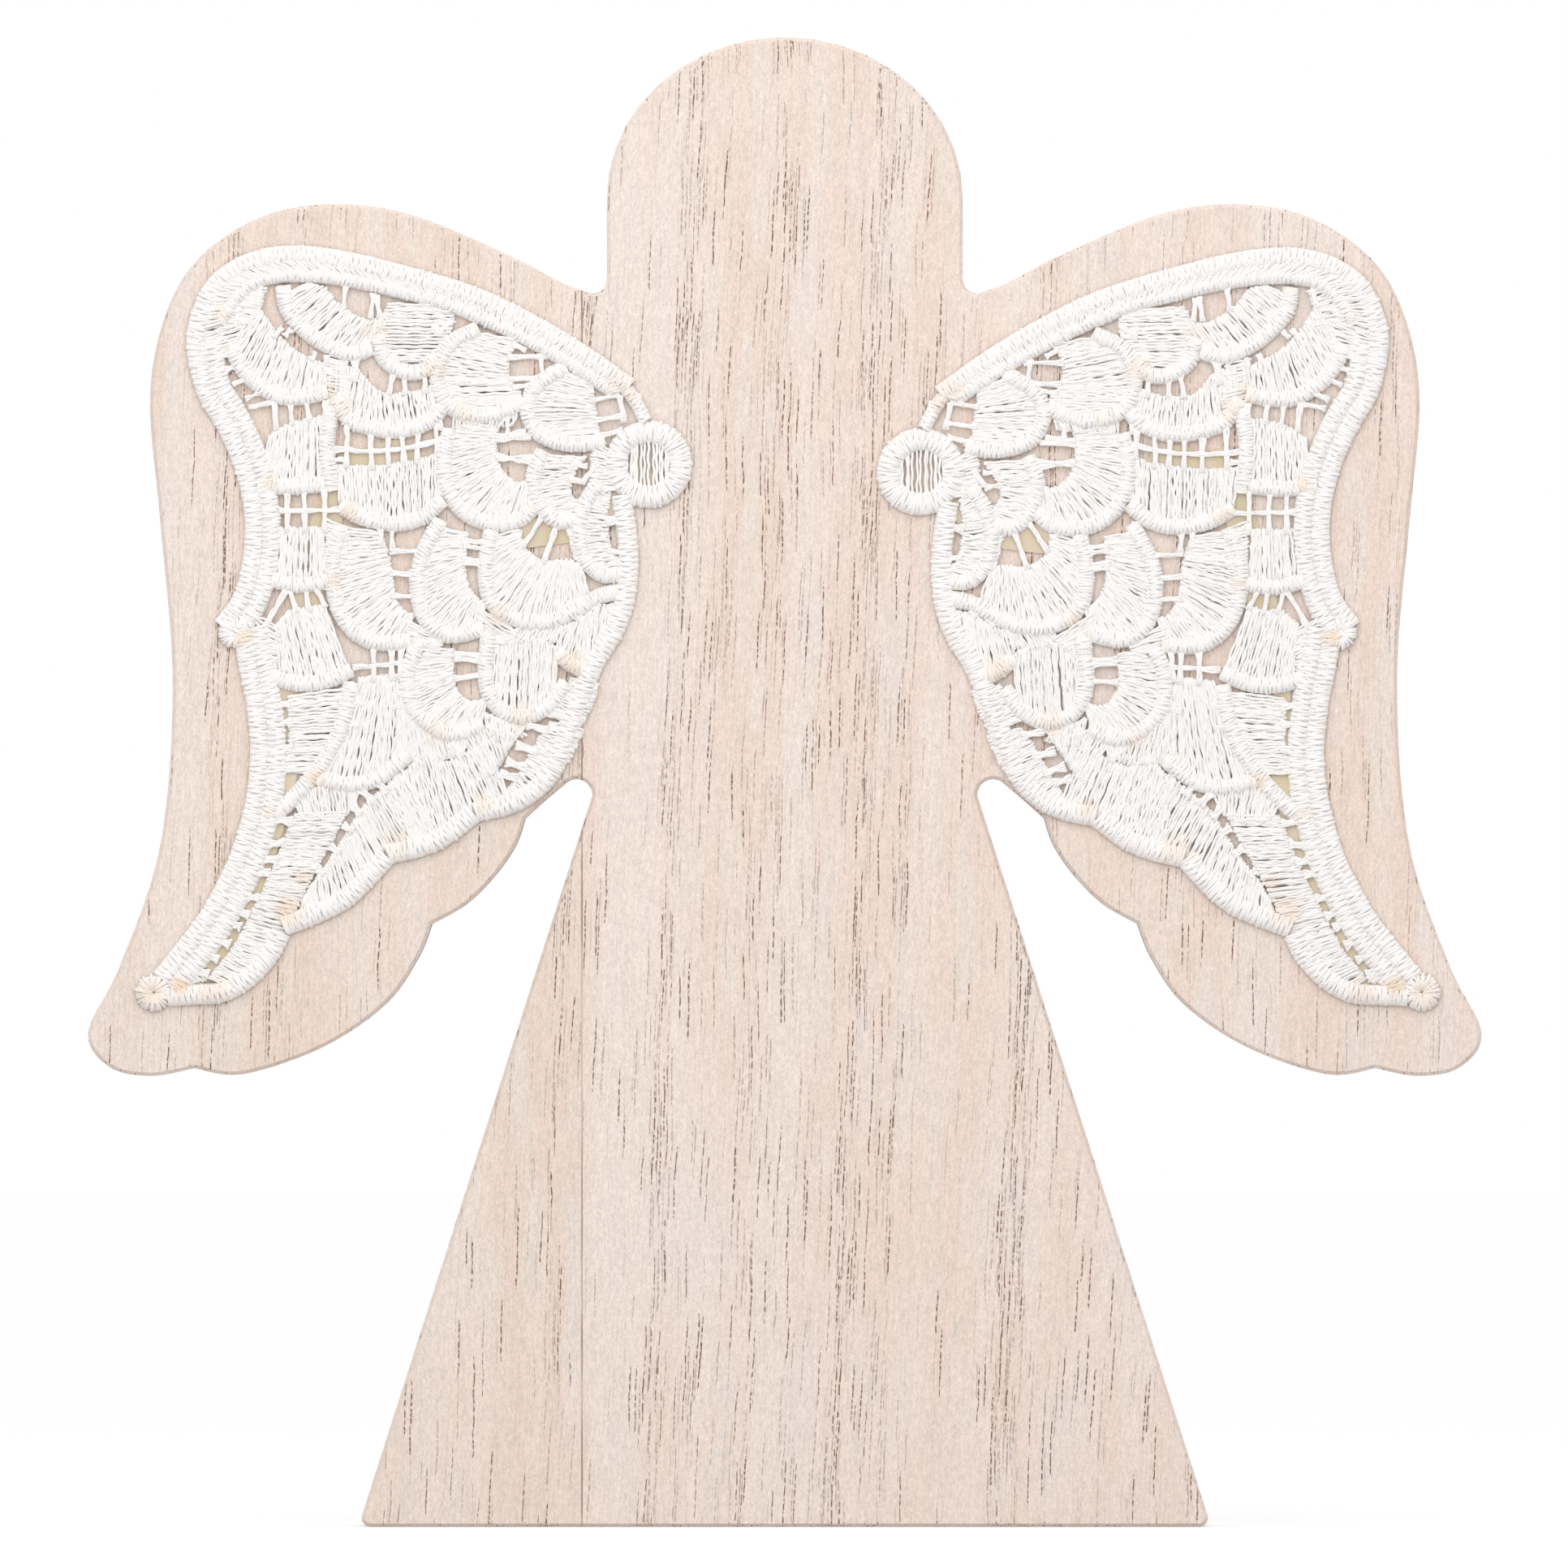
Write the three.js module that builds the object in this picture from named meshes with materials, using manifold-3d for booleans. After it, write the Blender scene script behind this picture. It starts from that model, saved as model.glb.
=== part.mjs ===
// A standing angel: a board glued up from two wooden staves and cut to an angel's outline,
// with an embroidered lace wing glued to the front of each wooden wing.
// Millimetres, X to the right, Z up, front towards -Y, origin in the middle of the foot.
import * as THREE from "three";
import { mergeVertices } from "three/addons/utils/BufferGeometryUtils.js";
import Module from "manifold-3d";

const wasm = await Module();
wasm.setup();

// Board
const boardThickness = 15;
const edgeEase = 0.3;
const edgeEaseSteps = 1;
const leastEdge = 0.001;
const seamOffset = 17.5;
const glueLineThickness = 0.15;

// Heights that add up from the foot to the crown
const armpitHeight = 64.5;
const shoulderDepth = 41.9;
const headHeight = 22.1;
const headDomeHeight = 13.9;

// Widths and radii of the body
const headWidth = 30.7;
const waistWidth = 33.2;
const skirtWidth = 73.6;
const neckFilletRadius = 1.3;
const armpitRadius = 1.4;
const skirtCornerRadius = 0.8;

// Wings: their rise above the neck notch, their drop below the armpit and their reach from the middle
const wingRise = 7.7;
const wingDrop = 25.6;
const wingReach = 60.1;

// Lace wings
const laceRingSpacing = 23.5;
const laceTopMargin = 3.6;
const laceTipMargin = 5.5;
const laceSideMargin = 4;
const rightLaceDrop = 0.5;
const adhesiveThickness = 0.2;
const adhesiveWidth = 2.6;
const laceGroundThickness = 0.5;
const laceEdgeLift = 0.1;
const borderHeight = 1;
const borderWidth = 1.9;
const innerCordWidth = 1.5;
const sideBandWidth = 2.9;
const tipBandWidth = 2;
const ringRadius = 2.8;
const ringWidth = 2.1;
const cordHeight = 1.1;
const cordWidth = 1.6;
const featherHeight = 0.8;
const featherRootWidth = 3.2;
const featherTipWidth = 1.8;
const linkWidth = 1;
const ladderBarWidth = 0.35;
const bandCrownShare = 0.45;
const borderStep = 4.2;
const cordStep = 2.9;
const featherStep = 4.5;

// Heights and places that follow from the sizes above
const neckHeight = armpitHeight + shoulderDepth;
const crownHeight = neckHeight + headHeight;
const wingTopHeight = neckHeight + wingRise;
const wingTipHeight = armpitHeight - wingDrop;
const shoulderReach = headWidth / 2 + neckFilletRadius;
const armpitCentre = new THREE.Vector2(waistWidth / 2 + armpitRadius, armpitHeight - armpitRadius);
const boardFront = boardThickness / 2;
const laceBack = boardFront + adhesiveThickness;

const materials = {
  bodyWood: new THREE.MeshStandardMaterial({ color: 0xe8d7cd, roughness: 0.75, metalness: 0 }),
  leftWood: new THREE.MeshStandardMaterial({ color: 0xe4d2c5, roughness: 0.75, metalness: 0 }),
  glue: new THREE.MeshStandardMaterial({ color: 0x9c8172, roughness: 0.6, metalness: 0 }),
  lace: new THREE.MeshStandardMaterial({ color: 0xfcfaf6, roughness: 0.85, metalness: 0 }),
  adhesive: new THREE.MeshStandardMaterial({ color: 0xd8cba6, roughness: 0.3, metalness: 0 }),
};

// Everything is drawn in the plane of the board: x to the right, y up, z towards the front
function solidOf(geometry) {
  geometry.deleteAttribute("normal");
  geometry.deleteAttribute("uv");
  const merged = mergeVertices(geometry);
  const vertProperties = new Float32Array(merged.attributes.position.array);
  const triVerts = new Uint32Array(merged.index.array);
  return new wasm.Manifold(new wasm.Mesh({ numProp: 3, vertProperties, triVerts }));
}

function meshOf(name, solid, material) {
  const { vertProperties, triVerts } = solid.getMesh();
  const geometry = new THREE.BufferGeometry();
  geometry.setAttribute("position", new THREE.BufferAttribute(vertProperties, 3));
  geometry.setIndex(new THREE.BufferAttribute(triVerts, 1));
  geometry.computeVertexNormals();
  const mesh = new THREE.Mesh(geometry, material);
  mesh.name = name;
  return mesh;
}

function slab(shape, back, front) {
  const geometry = new THREE.ExtrudeGeometry(shape, { depth: front - back, bevelEnabled: false });
  return solidOf(geometry.translate(0, 0, back));
}

function polygonSlab(points, back, front) {
  return slab(new THREE.Shape(points), back, front);
}

// A place on a wing: across runs from the body to the wing's reach, up from the armpit, with 1 at the
// wing's top and -1 at its lowest point
function wingPoint(across, up) {
  const root = THREE.MathUtils.lerp(armpitCentre.x, shoulderReach, Math.max(up, 0));
  const x = THREE.MathUtils.lerp(root, wingReach, across);
  const span = up > 0 ? wingTopHeight - armpitHeight : armpitHeight - wingTipHeight;
  return new THREE.Vector2(x, armpitHeight + up * span);
}

// Right half of the outline, from the crown down to the middle of the foot
function halfOutline() {
  const halfHead = headWidth / 2;
  const domeBase = crownHeight - headDomeHeight;
  const path = new THREE.Path();
  path.moveTo(0, crownHeight);
  path.absellipse(0, domeBase, halfHead, headDomeHeight, Math.PI / 2, 0, true);
  const filletHeight = neckHeight + neckFilletRadius;
  path.lineTo(halfHead, filletHeight);
  path.absarc(shoulderReach, filletHeight, neckFilletRadius, Math.PI, 1.5 * Math.PI, false);
  const topAndSide = [
    [0.056, 0.8635], [0.1607, 0.9105], [0.3536, 0.9803], [0.504, 1], [0.6488, 0.9803],
    [0.7744, 0.9105], [0.8441, 0.8105], [0.8757, 0.6634], [0.8546, 0.4512], [0.8276, 0.1692],
    [0.8514, -0.2186], [0.935, -0.6299], [1, -0.8531], [0.9556, -0.9706], [0.8699, -1],
    [0.7822, -0.9736],
  ];
  const secondFeather = [
    [0.6831, -0.9941], [0.519, -0.9031], [0.391, -0.7591], [0.324, -0.6034], [0.2957, -0.4889],
  ];
  const thirdFeather = [[0.2245, -0.4213], [0.164, -0.3214], [0.1235, -0.2227], [0.1045, -0.1328]];
  const fourthFeather = [[0.0665, -0.0762]];
  for (const stretch of [topAndSide, secondFeather, thirdFeather]) {
    path.splineThru(stretch.map(([across, up]) => wingPoint(across, up)));
  }
  const armpitStart = Math.PI / 4;
  const armpitEntry = new THREE.Vector2(Math.cos(armpitStart), Math.sin(armpitStart));
  armpitEntry.multiplyScalar(armpitRadius).add(armpitCentre);
  path.splineThru([...fourthFeather.map(([across, up]) => wingPoint(across, up)), armpitEntry]);
  path.absarc(armpitCentre.x, armpitCentre.y, armpitRadius, armpitStart, Math.PI, false);
  const skirtSide = new THREE.Vector2(skirtWidth / 2, 0).sub(path.currentPoint).normalize();
  const outwards = Math.atan2(skirtSide.x, -skirtSide.y);
  const cornerReach = skirtCornerRadius * Math.tan(outwards / 2 + Math.PI / 4);
  const cornerStart = new THREE.Vector2(skirtWidth / 2, 0).addScaledVector(skirtSide, -cornerReach);
  path.lineTo(cornerStart.x, cornerStart.y);
  const cornerCentre = skirtWidth / 2 - cornerReach;
  path.absarc(cornerCentre, skirtCornerRadius, skirtCornerRadius, outwards, -Math.PI / 2, true);
  path.lineTo(0, 0);
  return path;
}

function angelShape() {
  const curveSteps = 5;
  const points = halfOutline().getPoints(curveSteps).slice(0, -1);
  const right = points.filter((point, i) => i === 0 || point.distanceTo(points[i - 1]) > leastEdge);
  const left = right.slice(1).reverse();
  return new THREE.Shape([...right, ...left.map((point) => new THREE.Vector2(-point.x, point.y))]);
}

function boardSolid() {
  const geometry = new THREE.ExtrudeGeometry(angelShape(), {
    depth: boardThickness - 2 * edgeEase,
    bevelThickness: edgeEase,
    bevelSize: edgeEase,
    bevelOffset: -edgeEase,
    bevelSegments: edgeEaseSteps,
  });
  return solidOf(geometry.translate(0, 0, edgeEase - boardThickness / 2));
}

// Cuts the board at the seam into the body, the left wing, the left edge of the skirt and two glue lines
function boardMeshes() {
  const board = boardSolid();
  const clear = boardThickness;
  const left = -wingReach - clear;
  const right = wingReach + clear;
  const top = crownHeight + clear;
  const bodySide = -seamOffset + glueLineThickness / 2;
  const leftSide = -seamOffset - glueLineThickness / 2;
  const cutter = (points) =>
    polygonSlab(points.map(([x, y]) => new THREE.Vector2(x, y)), -clear, clear);
  const strip = (x0, x1) => cutter([[x0, -clear], [x1, -clear], [x1, top], [x0, top]]);
  const skirtZone = cutter([
    [0, -clear],
    [0, armpitCentre.y],
    [-armpitCentre.x, armpitCentre.y],
    [-skirtWidth / 2 - armpitRadius, 0],
    [-skirtWidth / 2 - armpitRadius, -clear],
  ]);
  const leftStave = board.intersect(strip(left, leftSide));
  const glueLine = board.intersect(strip(leftSide, bodySide));
  const body = board.intersect(strip(bodySide, right));
  return [
    meshOf("body_stave", body, materials.bodyWood),
    meshOf("left_wing_stave", leftStave.subtract(skirtZone), materials.leftWood),
    meshOf("left_skirt_stave", leftStave.intersect(skirtZone), materials.leftWood),
    meshOf("upper_glue_line", glueLine.subtract(skirtZone), materials.glue),
    meshOf("lower_glue_line", glueLine.intersect(skirtZone), materials.glue),
  ];
}

// The lace is drafted on a chart: columns run outwards from the ring's centre, rows down from the top edge
const chart = { columns: 63.6, rows: 94.4 };
const columnSize = (wingReach - laceSideMargin - laceRingSpacing / 2) / chart.columns;
const laceTop = wingTopHeight - laceTopMargin;
const rowSize = (laceTop - wingTipHeight - laceTipMargin) / chart.rows;

function chartPlacer(side, drop) {
  return ([column, row]) =>
    new THREE.Vector2(side * (laceRingSpacing / 2 + column * columnSize), laceTop - drop - row * rowSize);
}

// Border of the lace, in order round its edge, as the centre lines of its cords and satin bands
const topBorder = [
  [2.4, 17.5], [10.5, 12], [20.4, 6.8], [30.2, 3.7], [40.2, 1.5], [47.5, 1.6], [53.2, 4.6], [55.8, 10.2],
  [55.6, 15],
];
const sideBand = [
  [54.9, 12.2], [53.9, 17.3], [51.6, 21.2], [49.5, 25.7], [48.2, 30.2], [47.7, 35], [48.2, 40],
  [49.5, 44.2], [51.9, 47.5],
];
const tipBand = [
  [49, 50.5], [47.7, 56.5], [47.3, 62.7], [48.2, 69], [50.1, 75.2], [52.2, 79.5], [54.8, 83.7],
  [60.4, 90.7],
];
const tipKnob = [[61.9, 91], [60.6, 92.9]];
const secondScallop = [[59.5, 92.4], [56.2, 92.2], [52.7, 91.9], [49.4, 90], [46.9, 87.2], [45.5, 84.5]];
const thirdScallop = [[45.2, 83.8], [41.4, 82.3], [37.9, 80.6], [34.9, 77.9], [32.4, 75.1]];
const fourthScallop = [[32.2, 74.9], [28.4, 74], [25.4, 72.7], [21.6, 69.9]];
const innerBorder = [
  [21.4, 69.7], [17.4, 68.8], [14.5, 67.3], [11.9, 64.5], [9.6, 58.7], [6.8, 51.5], [4, 46.7],
  [2.7, 42], [2.6, 36.5], [3.4, 30.7],
];
const ringCentre = [0, 26.9];
const shoulderLink = [[1.9, 18.2], [0.5, 20.2], [-0.3, 22]];

// Second cord, inside the top border
const innerTopCord = [
  [4.2, 18], [9.7, 14.4], [14.7, 11.6], [20.2, 9], [25.4, 6.9], [30.2, 5.7], [35.2, 4.5], [40.2, 3.7],
  [45, 3.6], [48.7, 4.4], [51.2, 6.5], [53, 9.6],
];

// Raised cords that edge the feather cells, row by row from the shoulder down
const cellCords = [
  [[51.8, 12.2], [50.1, 15.3], [48.4, 17], [45.7, 18.5], [42.7, 18.6], [39.7, 17.9]],
  [[45.2, 4.9], [44.7, 7.7], [42.7, 10.2], [39.7, 12.3], [36.7, 13.3], [34.2, 12.5]],
  [[33.6, 10.9], [32.7, 13.9], [30.2, 15.5], [27.7, 15.3], [25.9, 13.5]],
  [[21, 10.2], [24.6, 12.1], [26.1, 15.7], [25, 19.4], [21.7, 20.9], [18.2, 20.5], [15.4, 18.9]],
  [[10.2, 14.9], [13.8, 17.2], [15, 20.2], [13.4, 23.2], [9.7, 24.4], [5.4, 24]],
  [[39, 18.5], [37.2, 21.2], [34, 22.5], [30.2, 22.7], [27, 21.5], [25.2, 19.5]],
  [[38.2, 31.9], [35.7, 33.4], [32, 34.2], [28.2, 33.5], [25.4, 31.2]],
  [[48.4, 29.4], [44.4, 29.7], [40, 29.3]],
  [[39.2, 19.7], [39.8, 24.7], [39.2, 30.2]],
  [[24.6, 22.5], [25.3, 26.2], [24.9, 29.7], [22.9, 32.7], [19.4, 34.2], [15.9, 33.7], [14, 31.9]],
  [[13, 25.2], [14.2, 28.2], [13.6, 31.5], [11.4, 33.9], [8.8, 33.7]],
  [[6, 28.9], [7.8, 31.7], [8.6, 35.2], [7.8, 38.7], [5.7, 40.5], [2.9, 40.3]],
  [[46.7, 41], [43.4, 41.8], [39.2, 41.2]],
  [[38, 34.5], [39, 38.7], [38.8, 43.2], [37.2, 46.7], [34, 48.8], [29.4, 48.7]],
  [[25.7, 33.7], [28, 38.2], [28.6, 42.2], [27.6, 46], [24.7, 48], [20.4, 47.1]],
  [[19.4, 34.9], [20.2, 39.7], [19.4, 43.9], [16.2, 46.1], [12.2, 46.2], [9, 44.5], [5, 41.7]],
  [[46.9, 52.9], [43.7, 53.9], [40.2, 53.7], [36.7, 52.2]],
  [[36.8, 53.7], [37.8, 58.7], [39.7, 62.7], [42.7, 66.7], [46.2, 70.2]],
  [[41, 65.5], [37.2, 66.3], [33.7, 65.7], [29.7, 62.7]],
  [[28.4, 48.7], [29.8, 52.7], [29.4, 56.5], [27.2, 59], [24.2, 60.2], [20.4, 58.9]],
  [[19.6, 47.2], [20.2, 52.7], [19, 56.5], [15.7, 58.1], [12.2, 56.5], [10.2, 53.7]],
  [[11.4, 50], [9, 51.9], [6.4, 52.3]],
];

// Long satin feathers that sweep down to the scalloped edge
const longFeathers = [
  [[40.7, 68.2], [43.7, 74.2], [47.4, 80.7], [53, 89.2]],
  [[31.2, 68.2], [34.7, 73.2], [38.7, 77.7], [42.7, 81.2]],
  [[20.7, 62.7], [24.2, 67.7], [28.2, 71.9]],
];

// Ladders of gaps: the line down the middle, how many gaps it has, and their width in columns
const ladders = [
  { line: [[-1.7, 24.9], [-1.7, 28.9]], gaps: 1, width: 0.6 },
  { line: [[0, 24.9], [0, 28.9]], gaps: 1, width: 0.6 },
  { line: [[1.7, 24.9], [1.7, 28.9]], gaps: 1, width: 0.6 },
  { line: [[52.9, 14], [51.6, 16.2], [49.5, 18.5]], gaps: 3, width: 0.7 },
  { line: [[46.8, 4.9], [46.4, 8.9]], gaps: 1, width: 1.4 },
  { line: [[45.9, 9.9], [43.6, 12.1], [40.4, 13.8]], gaps: 3, width: 1.1 },
  { line: [[39.4, 5.7], [31, 7.5]], gaps: 3, width: 1.6 },
  { line: [[25.7, 10.7], [23.6, 9.8]], gaps: 1, width: 1.1 },
  { line: [[15.4, 14], [15.4, 16.5]], gaps: 1, width: 2.6 },
  { line: [[6.7, 19.6], [5.4, 21]], gaps: 1, width: 1.3 },
  { line: [[35.6, 13.9], [34, 16.5]], gaps: 1, width: 1.7 },
  { line: [[32.7, 16.9], [27.4, 17.3]], gaps: 3, width: 1 },
  { line: [[48.8, 20.2], [47.2, 22.3]], gaps: 1, width: 1.4 },
  { line: [[46.2, 20.9], [40.4, 20.1]], gaps: 3, width: 1.9 },
  { line: [[39, 24.3], [33.2, 24.3], [26.7, 23.4]], gaps: 5, width: 1.9 },
  { line: [[19, 25.2], [14.2, 25]], gaps: 1, width: 2 },
  { line: [[18, 27.2], [14.9, 28.4]], gaps: 1, width: 2.2 },
  { line: [[4.8, 31.2], [4.4, 35.7], [4.2, 39.4]], gaps: 2, width: 1.1 },
  { line: [[45.9, 31], [40, 31.4]], gaps: 3, width: 1.7 },
  { line: [[30.6, 35.4], [30.2, 44.9]], gaps: 4, width: 2 },
  { line: [[21.2, 35.3], [21.5, 42.7]], gaps: 3, width: 1.9 },
  { line: [[15, 35.2], [13, 37.3]], gaps: 1, width: 2 },
  { line: [[12, 37], [10.8, 38.1]], gaps: 1, width: 1.9 },
  { line: [[5.7, 43.7], [3.8, 42.7]], gaps: 1, width: 1.1 },
  { line: [[46.4, 42.7], [45, 44.7]], gaps: 1, width: 2 },
  { line: [[44, 44.2], [40.2, 43.4]], gaps: 2, width: 1.9 },
  { line: [[36.2, 51], [29.4, 50.2]], gaps: 3, width: 1.1 },
  { line: [[36.2, 67.5], [33.6, 67.1]], gaps: 1, width: 1.1 },
  { line: [[22.1, 48.9], [22.5, 54.9]], gaps: 3, width: 2 },
  { line: [[17.6, 49.7], [15.2, 49.3]], gaps: 1, width: 1.1 },
  { line: [[45, 54.7], [44.9, 61.2]], gaps: 3, width: 1.1 },
  { line: [[45.2, 69.5], [47.7, 76.2], [50.7, 82.9], [56.2, 90.2]], gaps: 8, width: 1.1 },
  { line: [[36.7, 69.7], [38.4, 72.7], [40.5, 75.9], [41.6, 78.3]], gaps: 3, width: 1.1 },
  { line: [[13.4, 58.6], [15.2, 61.5], [17.7, 66.4]], gaps: 4, width: 1.3 },
];

// Zigzag of the adhesive bead that shows in some of the gaps
const adhesiveLine = [
  [0, 27.5], [7, 33], [14.2, 36], [24.2, 29.7], [34.7, 25.2], [40.2, 34.7], [43.2, 49.7], [45.2, 64.7],
  [51.7, 84.2], [57.2, 90.4],
];

function spacedLine(points, spacing, closed = false) {
  if (points.length === 2) return points;
  const curve = new THREE.CatmullRomCurve3(points.map((p) => new THREE.Vector3(p.x, p.y, 0)), closed);
  const steps = Math.max(3, Math.round(curve.getLength() / spacing));
  const line = curve.getSpacedPoints(steps).map((p) => new THREE.Vector2(p.x, p.y));
  return closed ? line.slice(0, -1) : line;
}

// Points at both sides of a line, half a width away, with the width changing evenly from end to end
function edgesOf(line, startWidth, endWidth, closed = false) {
  const last = line.length - 1;
  const at = (i) => (closed ? line.at(i % line.length) : line[THREE.MathUtils.clamp(i, 0, last)]);
  return line.map((point, i) => {
    const along = at(i + 1).clone().sub(at(i - 1)).normalize();
    const across = new THREE.Vector2(-along.y, along.x);
    const half = THREE.MathUtils.lerp(startWidth, endWidth, i / last) / 2;
    return { point, across, half };
  });
}

// A raised cord: a section carried along a line, from a base plane up to its crown
function cordSolid(section, line, startWidth, endWidth, base, crown, closed = false) {
  const stations = edgesOf(line, startWidth, endWidth, closed);
  const positions = stations.flatMap(({ point, across, half }) =>
    section.flatMap(([share, rise]) => [
      point.x + across.x * half * share,
      point.y + across.y * half * share,
      base + rise * (crown - base),
    ]),
  );
  const index = [];
  const corners = section.length;
  const spans = closed ? stations.length : stations.length - 1;
  for (let i = 0; i < spans; i += 1) {
    const here = i * corners;
    const next = ((i + 1) % stations.length) * corners;
    for (let k = 0; k < corners; k += 1) {
      const other = (k + 1) % corners;
      index.push(here + k, next + other, next + k, here + k, here + other, next + other);
    }
  }
  const end = (stations.length - 1) * corners;
  for (let k = 1; !closed && k < corners - 1; k += 1) {
    index.push(0, k + 1, k, end, end + k, end + k + 1);
  }
  const geometry = new THREE.BufferGeometry();
  geometry.setAttribute("position", new THREE.Float32BufferAttribute(positions, 3));
  geometry.setIndex(index);
  return solidOf(geometry);
}

// One prism for each gap of a ladder, with bars left standing between the gaps
function ladderGaps({ line, gaps, width }, place) {
  const curve = new THREE.CatmullRomCurve3(
    line.map((spot) => place(spot)).map((p) => new THREE.Vector3(p.x, p.y, 0)),
  );
  const barShare = gaps > 1 ? ladderBarWidth / curve.getLength() / 2 : 0;
  return Array.from({ length: gaps }, (_, i) => {
    const ends = [i / gaps + barShare, (i + 1) / gaps - barShare];
    const corners = ends.map((share) => {
      const point = curve.getPointAt(share);
      const along = curve.getTangentAt(share);
      const across = new THREE.Vector2(-along.y, along.x).multiplyScalar((width * columnSize) / 2);
      const middle = new THREE.Vector2(point.x, point.y);
      return [middle.clone().add(across), middle.clone().sub(across)];
    });
    const outline = [corners[0][0], corners[0][1], corners[1][1], corners[1][0]];
    return polygonSlab(outline, boardFront, laceBack + 2 * laceGroundThickness);
  });
}

function ringCircle(centre, steps) {
  return Array.from({ length: steps }, (_, i) => {
    const turn = (2 * Math.PI * i) / steps;
    return new THREE.Vector2(ringRadius * Math.cos(turn), ringRadius * Math.sin(turn)).add(centre);
  });
}

// Sections of the satin bands and of the raised cords, as shares of their half width and their rise
const bandSection = [[1, 0], [bandCrownShare, 1], [-bandCrownShare, 1], [-1, 0]];
const cordSection = [[1, 0], [0, 1], [-1, 0]];

// One applique: a ground with ladders of gaps, the border round it and the cords on it
function laceSolid(side, drop) {
  const place = chartPlacer(side, drop);
  const laid = (points, spacing) => spacedLine(points.map(place), spacing);
  const cordBase = laceBack + laceGroundThickness / 2;
  const borderBase = laceBack + laceEdgeLift;
  const groundFront = laceBack + laceGroundThickness;
  const rim = [
    topBorder, sideBand, tipBand, tipKnob, secondScallop, thirdScallop, fourthScallop, innerBorder,
  ];
  const ringSteps = 12;
  const ringLine = ringCircle(place(ringCentre), ringSteps);
  let lace = polygonSlab(rim.flatMap((points) => laid(points, borderStep)), laceBack, groundFront);
  lace = lace.add(polygonSlab(ringLine, laceBack, groundFront));
  for (const ladder of ladders) {
    for (const gap of ladderGaps(ladder, place)) lace = lace.subtract(gap);
  }
  const borderCrown = laceBack + borderHeight;
  const cordCrown = laceBack + cordHeight;
  const featherCrown = laceBack + featherHeight;
  const band = (line, startWidth, endWidth = startWidth) =>
    cordSolid(bandSection, line, startWidth, endWidth, borderBase, borderCrown);
  const cord = (line, width, crown) => cordSolid(cordSection, line, width, width, cordBase, crown);
  const feather = (line) =>
    cordSolid(bandSection, line, featherRootWidth, featherTipWidth, cordBase, featherCrown);
  const pieces = [
    band(laid(topBorder, borderStep), borderWidth),
    band(laid(sideBand, borderStep), sideBandWidth),
    band(laid(tipBand, borderStep), sideBandWidth, tipBandWidth),
    ...[tipKnob, secondScallop, thirdScallop, fourthScallop, innerBorder].map((points) =>
      band(laid(points, borderStep), borderWidth),
    ),
    cordSolid(bandSection, ringLine, ringWidth, ringWidth, borderBase, borderCrown, true),
    band(laid(shoulderLink, cordStep), linkWidth),
    cord(laid(innerTopCord, borderStep), innerCordWidth, borderCrown),
    ...cellCords.map((points) => cord(laid(points, cordStep), cordWidth, cordCrown)),
    ...longFeathers.map((points) => feather(laid(points, featherStep))),
  ];
  for (const piece of pieces) lace = lace.add(piece);
  return lace;
}

function adhesiveSolid(side, drop) {
  const line = spacedLine(adhesiveLine.map(chartPlacer(side, drop)), borderStep);
  const edges = edgesOf(line, adhesiveWidth, adhesiveWidth);
  const upper = edges.map(({ point, across, half }) => point.clone().addScaledVector(across, half));
  const lower = edges.map(({ point, across, half }) => point.clone().addScaledVector(across, -half));
  return polygonSlab([...upper, ...lower.reverse()], boardFront, laceBack);
}

function laceMeshes(name, side, drop) {
  return [
    meshOf(`${name}_lace_wing`, laceSolid(side, drop), materials.lace),
    meshOf(`${name}_lace_adhesive`, adhesiveSolid(side, drop), materials.adhesive),
  ];
}

const angel = new THREE.Group();
angel.add(...boardMeshes(), ...laceMeshes("left", -1, 0), ...laceMeshes("right", 1, rightLaceDrop));
// Stands the drawing plane upright, so that the front looks along -Y
angel.rotation.x = Math.PI / 2;

const part = new THREE.Group();
part.add(angel);
export default part;
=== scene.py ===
"""A standing wooden angel with an embroidered lace wing glued to each wooden wing.

The board and its glue lines keep their CAD solids and get grained, whitewashed finishes.
Each lace wing is stitched from single threads: satin borders, raised cords, filled cells and bars.
"""

import logging
import math
import random
from bisect import bisect_right
from dataclasses import dataclass
from enum import Enum

import bpy
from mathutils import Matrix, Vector


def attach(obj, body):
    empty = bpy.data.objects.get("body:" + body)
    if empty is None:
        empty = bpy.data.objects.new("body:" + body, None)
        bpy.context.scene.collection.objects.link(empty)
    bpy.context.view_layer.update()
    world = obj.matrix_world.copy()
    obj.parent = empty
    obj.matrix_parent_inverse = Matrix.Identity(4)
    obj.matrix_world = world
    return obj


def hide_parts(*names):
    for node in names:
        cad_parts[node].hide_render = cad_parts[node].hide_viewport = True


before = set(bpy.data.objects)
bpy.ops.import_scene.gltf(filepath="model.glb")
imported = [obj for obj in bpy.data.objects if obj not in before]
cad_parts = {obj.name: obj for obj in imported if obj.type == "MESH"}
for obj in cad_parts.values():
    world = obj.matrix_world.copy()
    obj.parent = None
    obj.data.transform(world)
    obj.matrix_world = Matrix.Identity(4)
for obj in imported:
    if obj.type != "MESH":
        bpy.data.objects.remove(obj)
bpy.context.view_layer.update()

logging.basicConfig(level=logging.INFO, format="%(message)s")
log = logging.getLogger("angel")

MM = 0.001
# Radii of the threads and width of the border, in millimetres
THREAD = 0.168
FINE_THREAD = 0.133
BORDER_WIDTH = 1.95
# Where most of a noise lies
NOISE_RANGE = (0.3, 0.7)
# Kinds of sockets on a node group
COLOUR = "NodeSocketColor"
NUMBER = "NodeSocketFloat"

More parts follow.
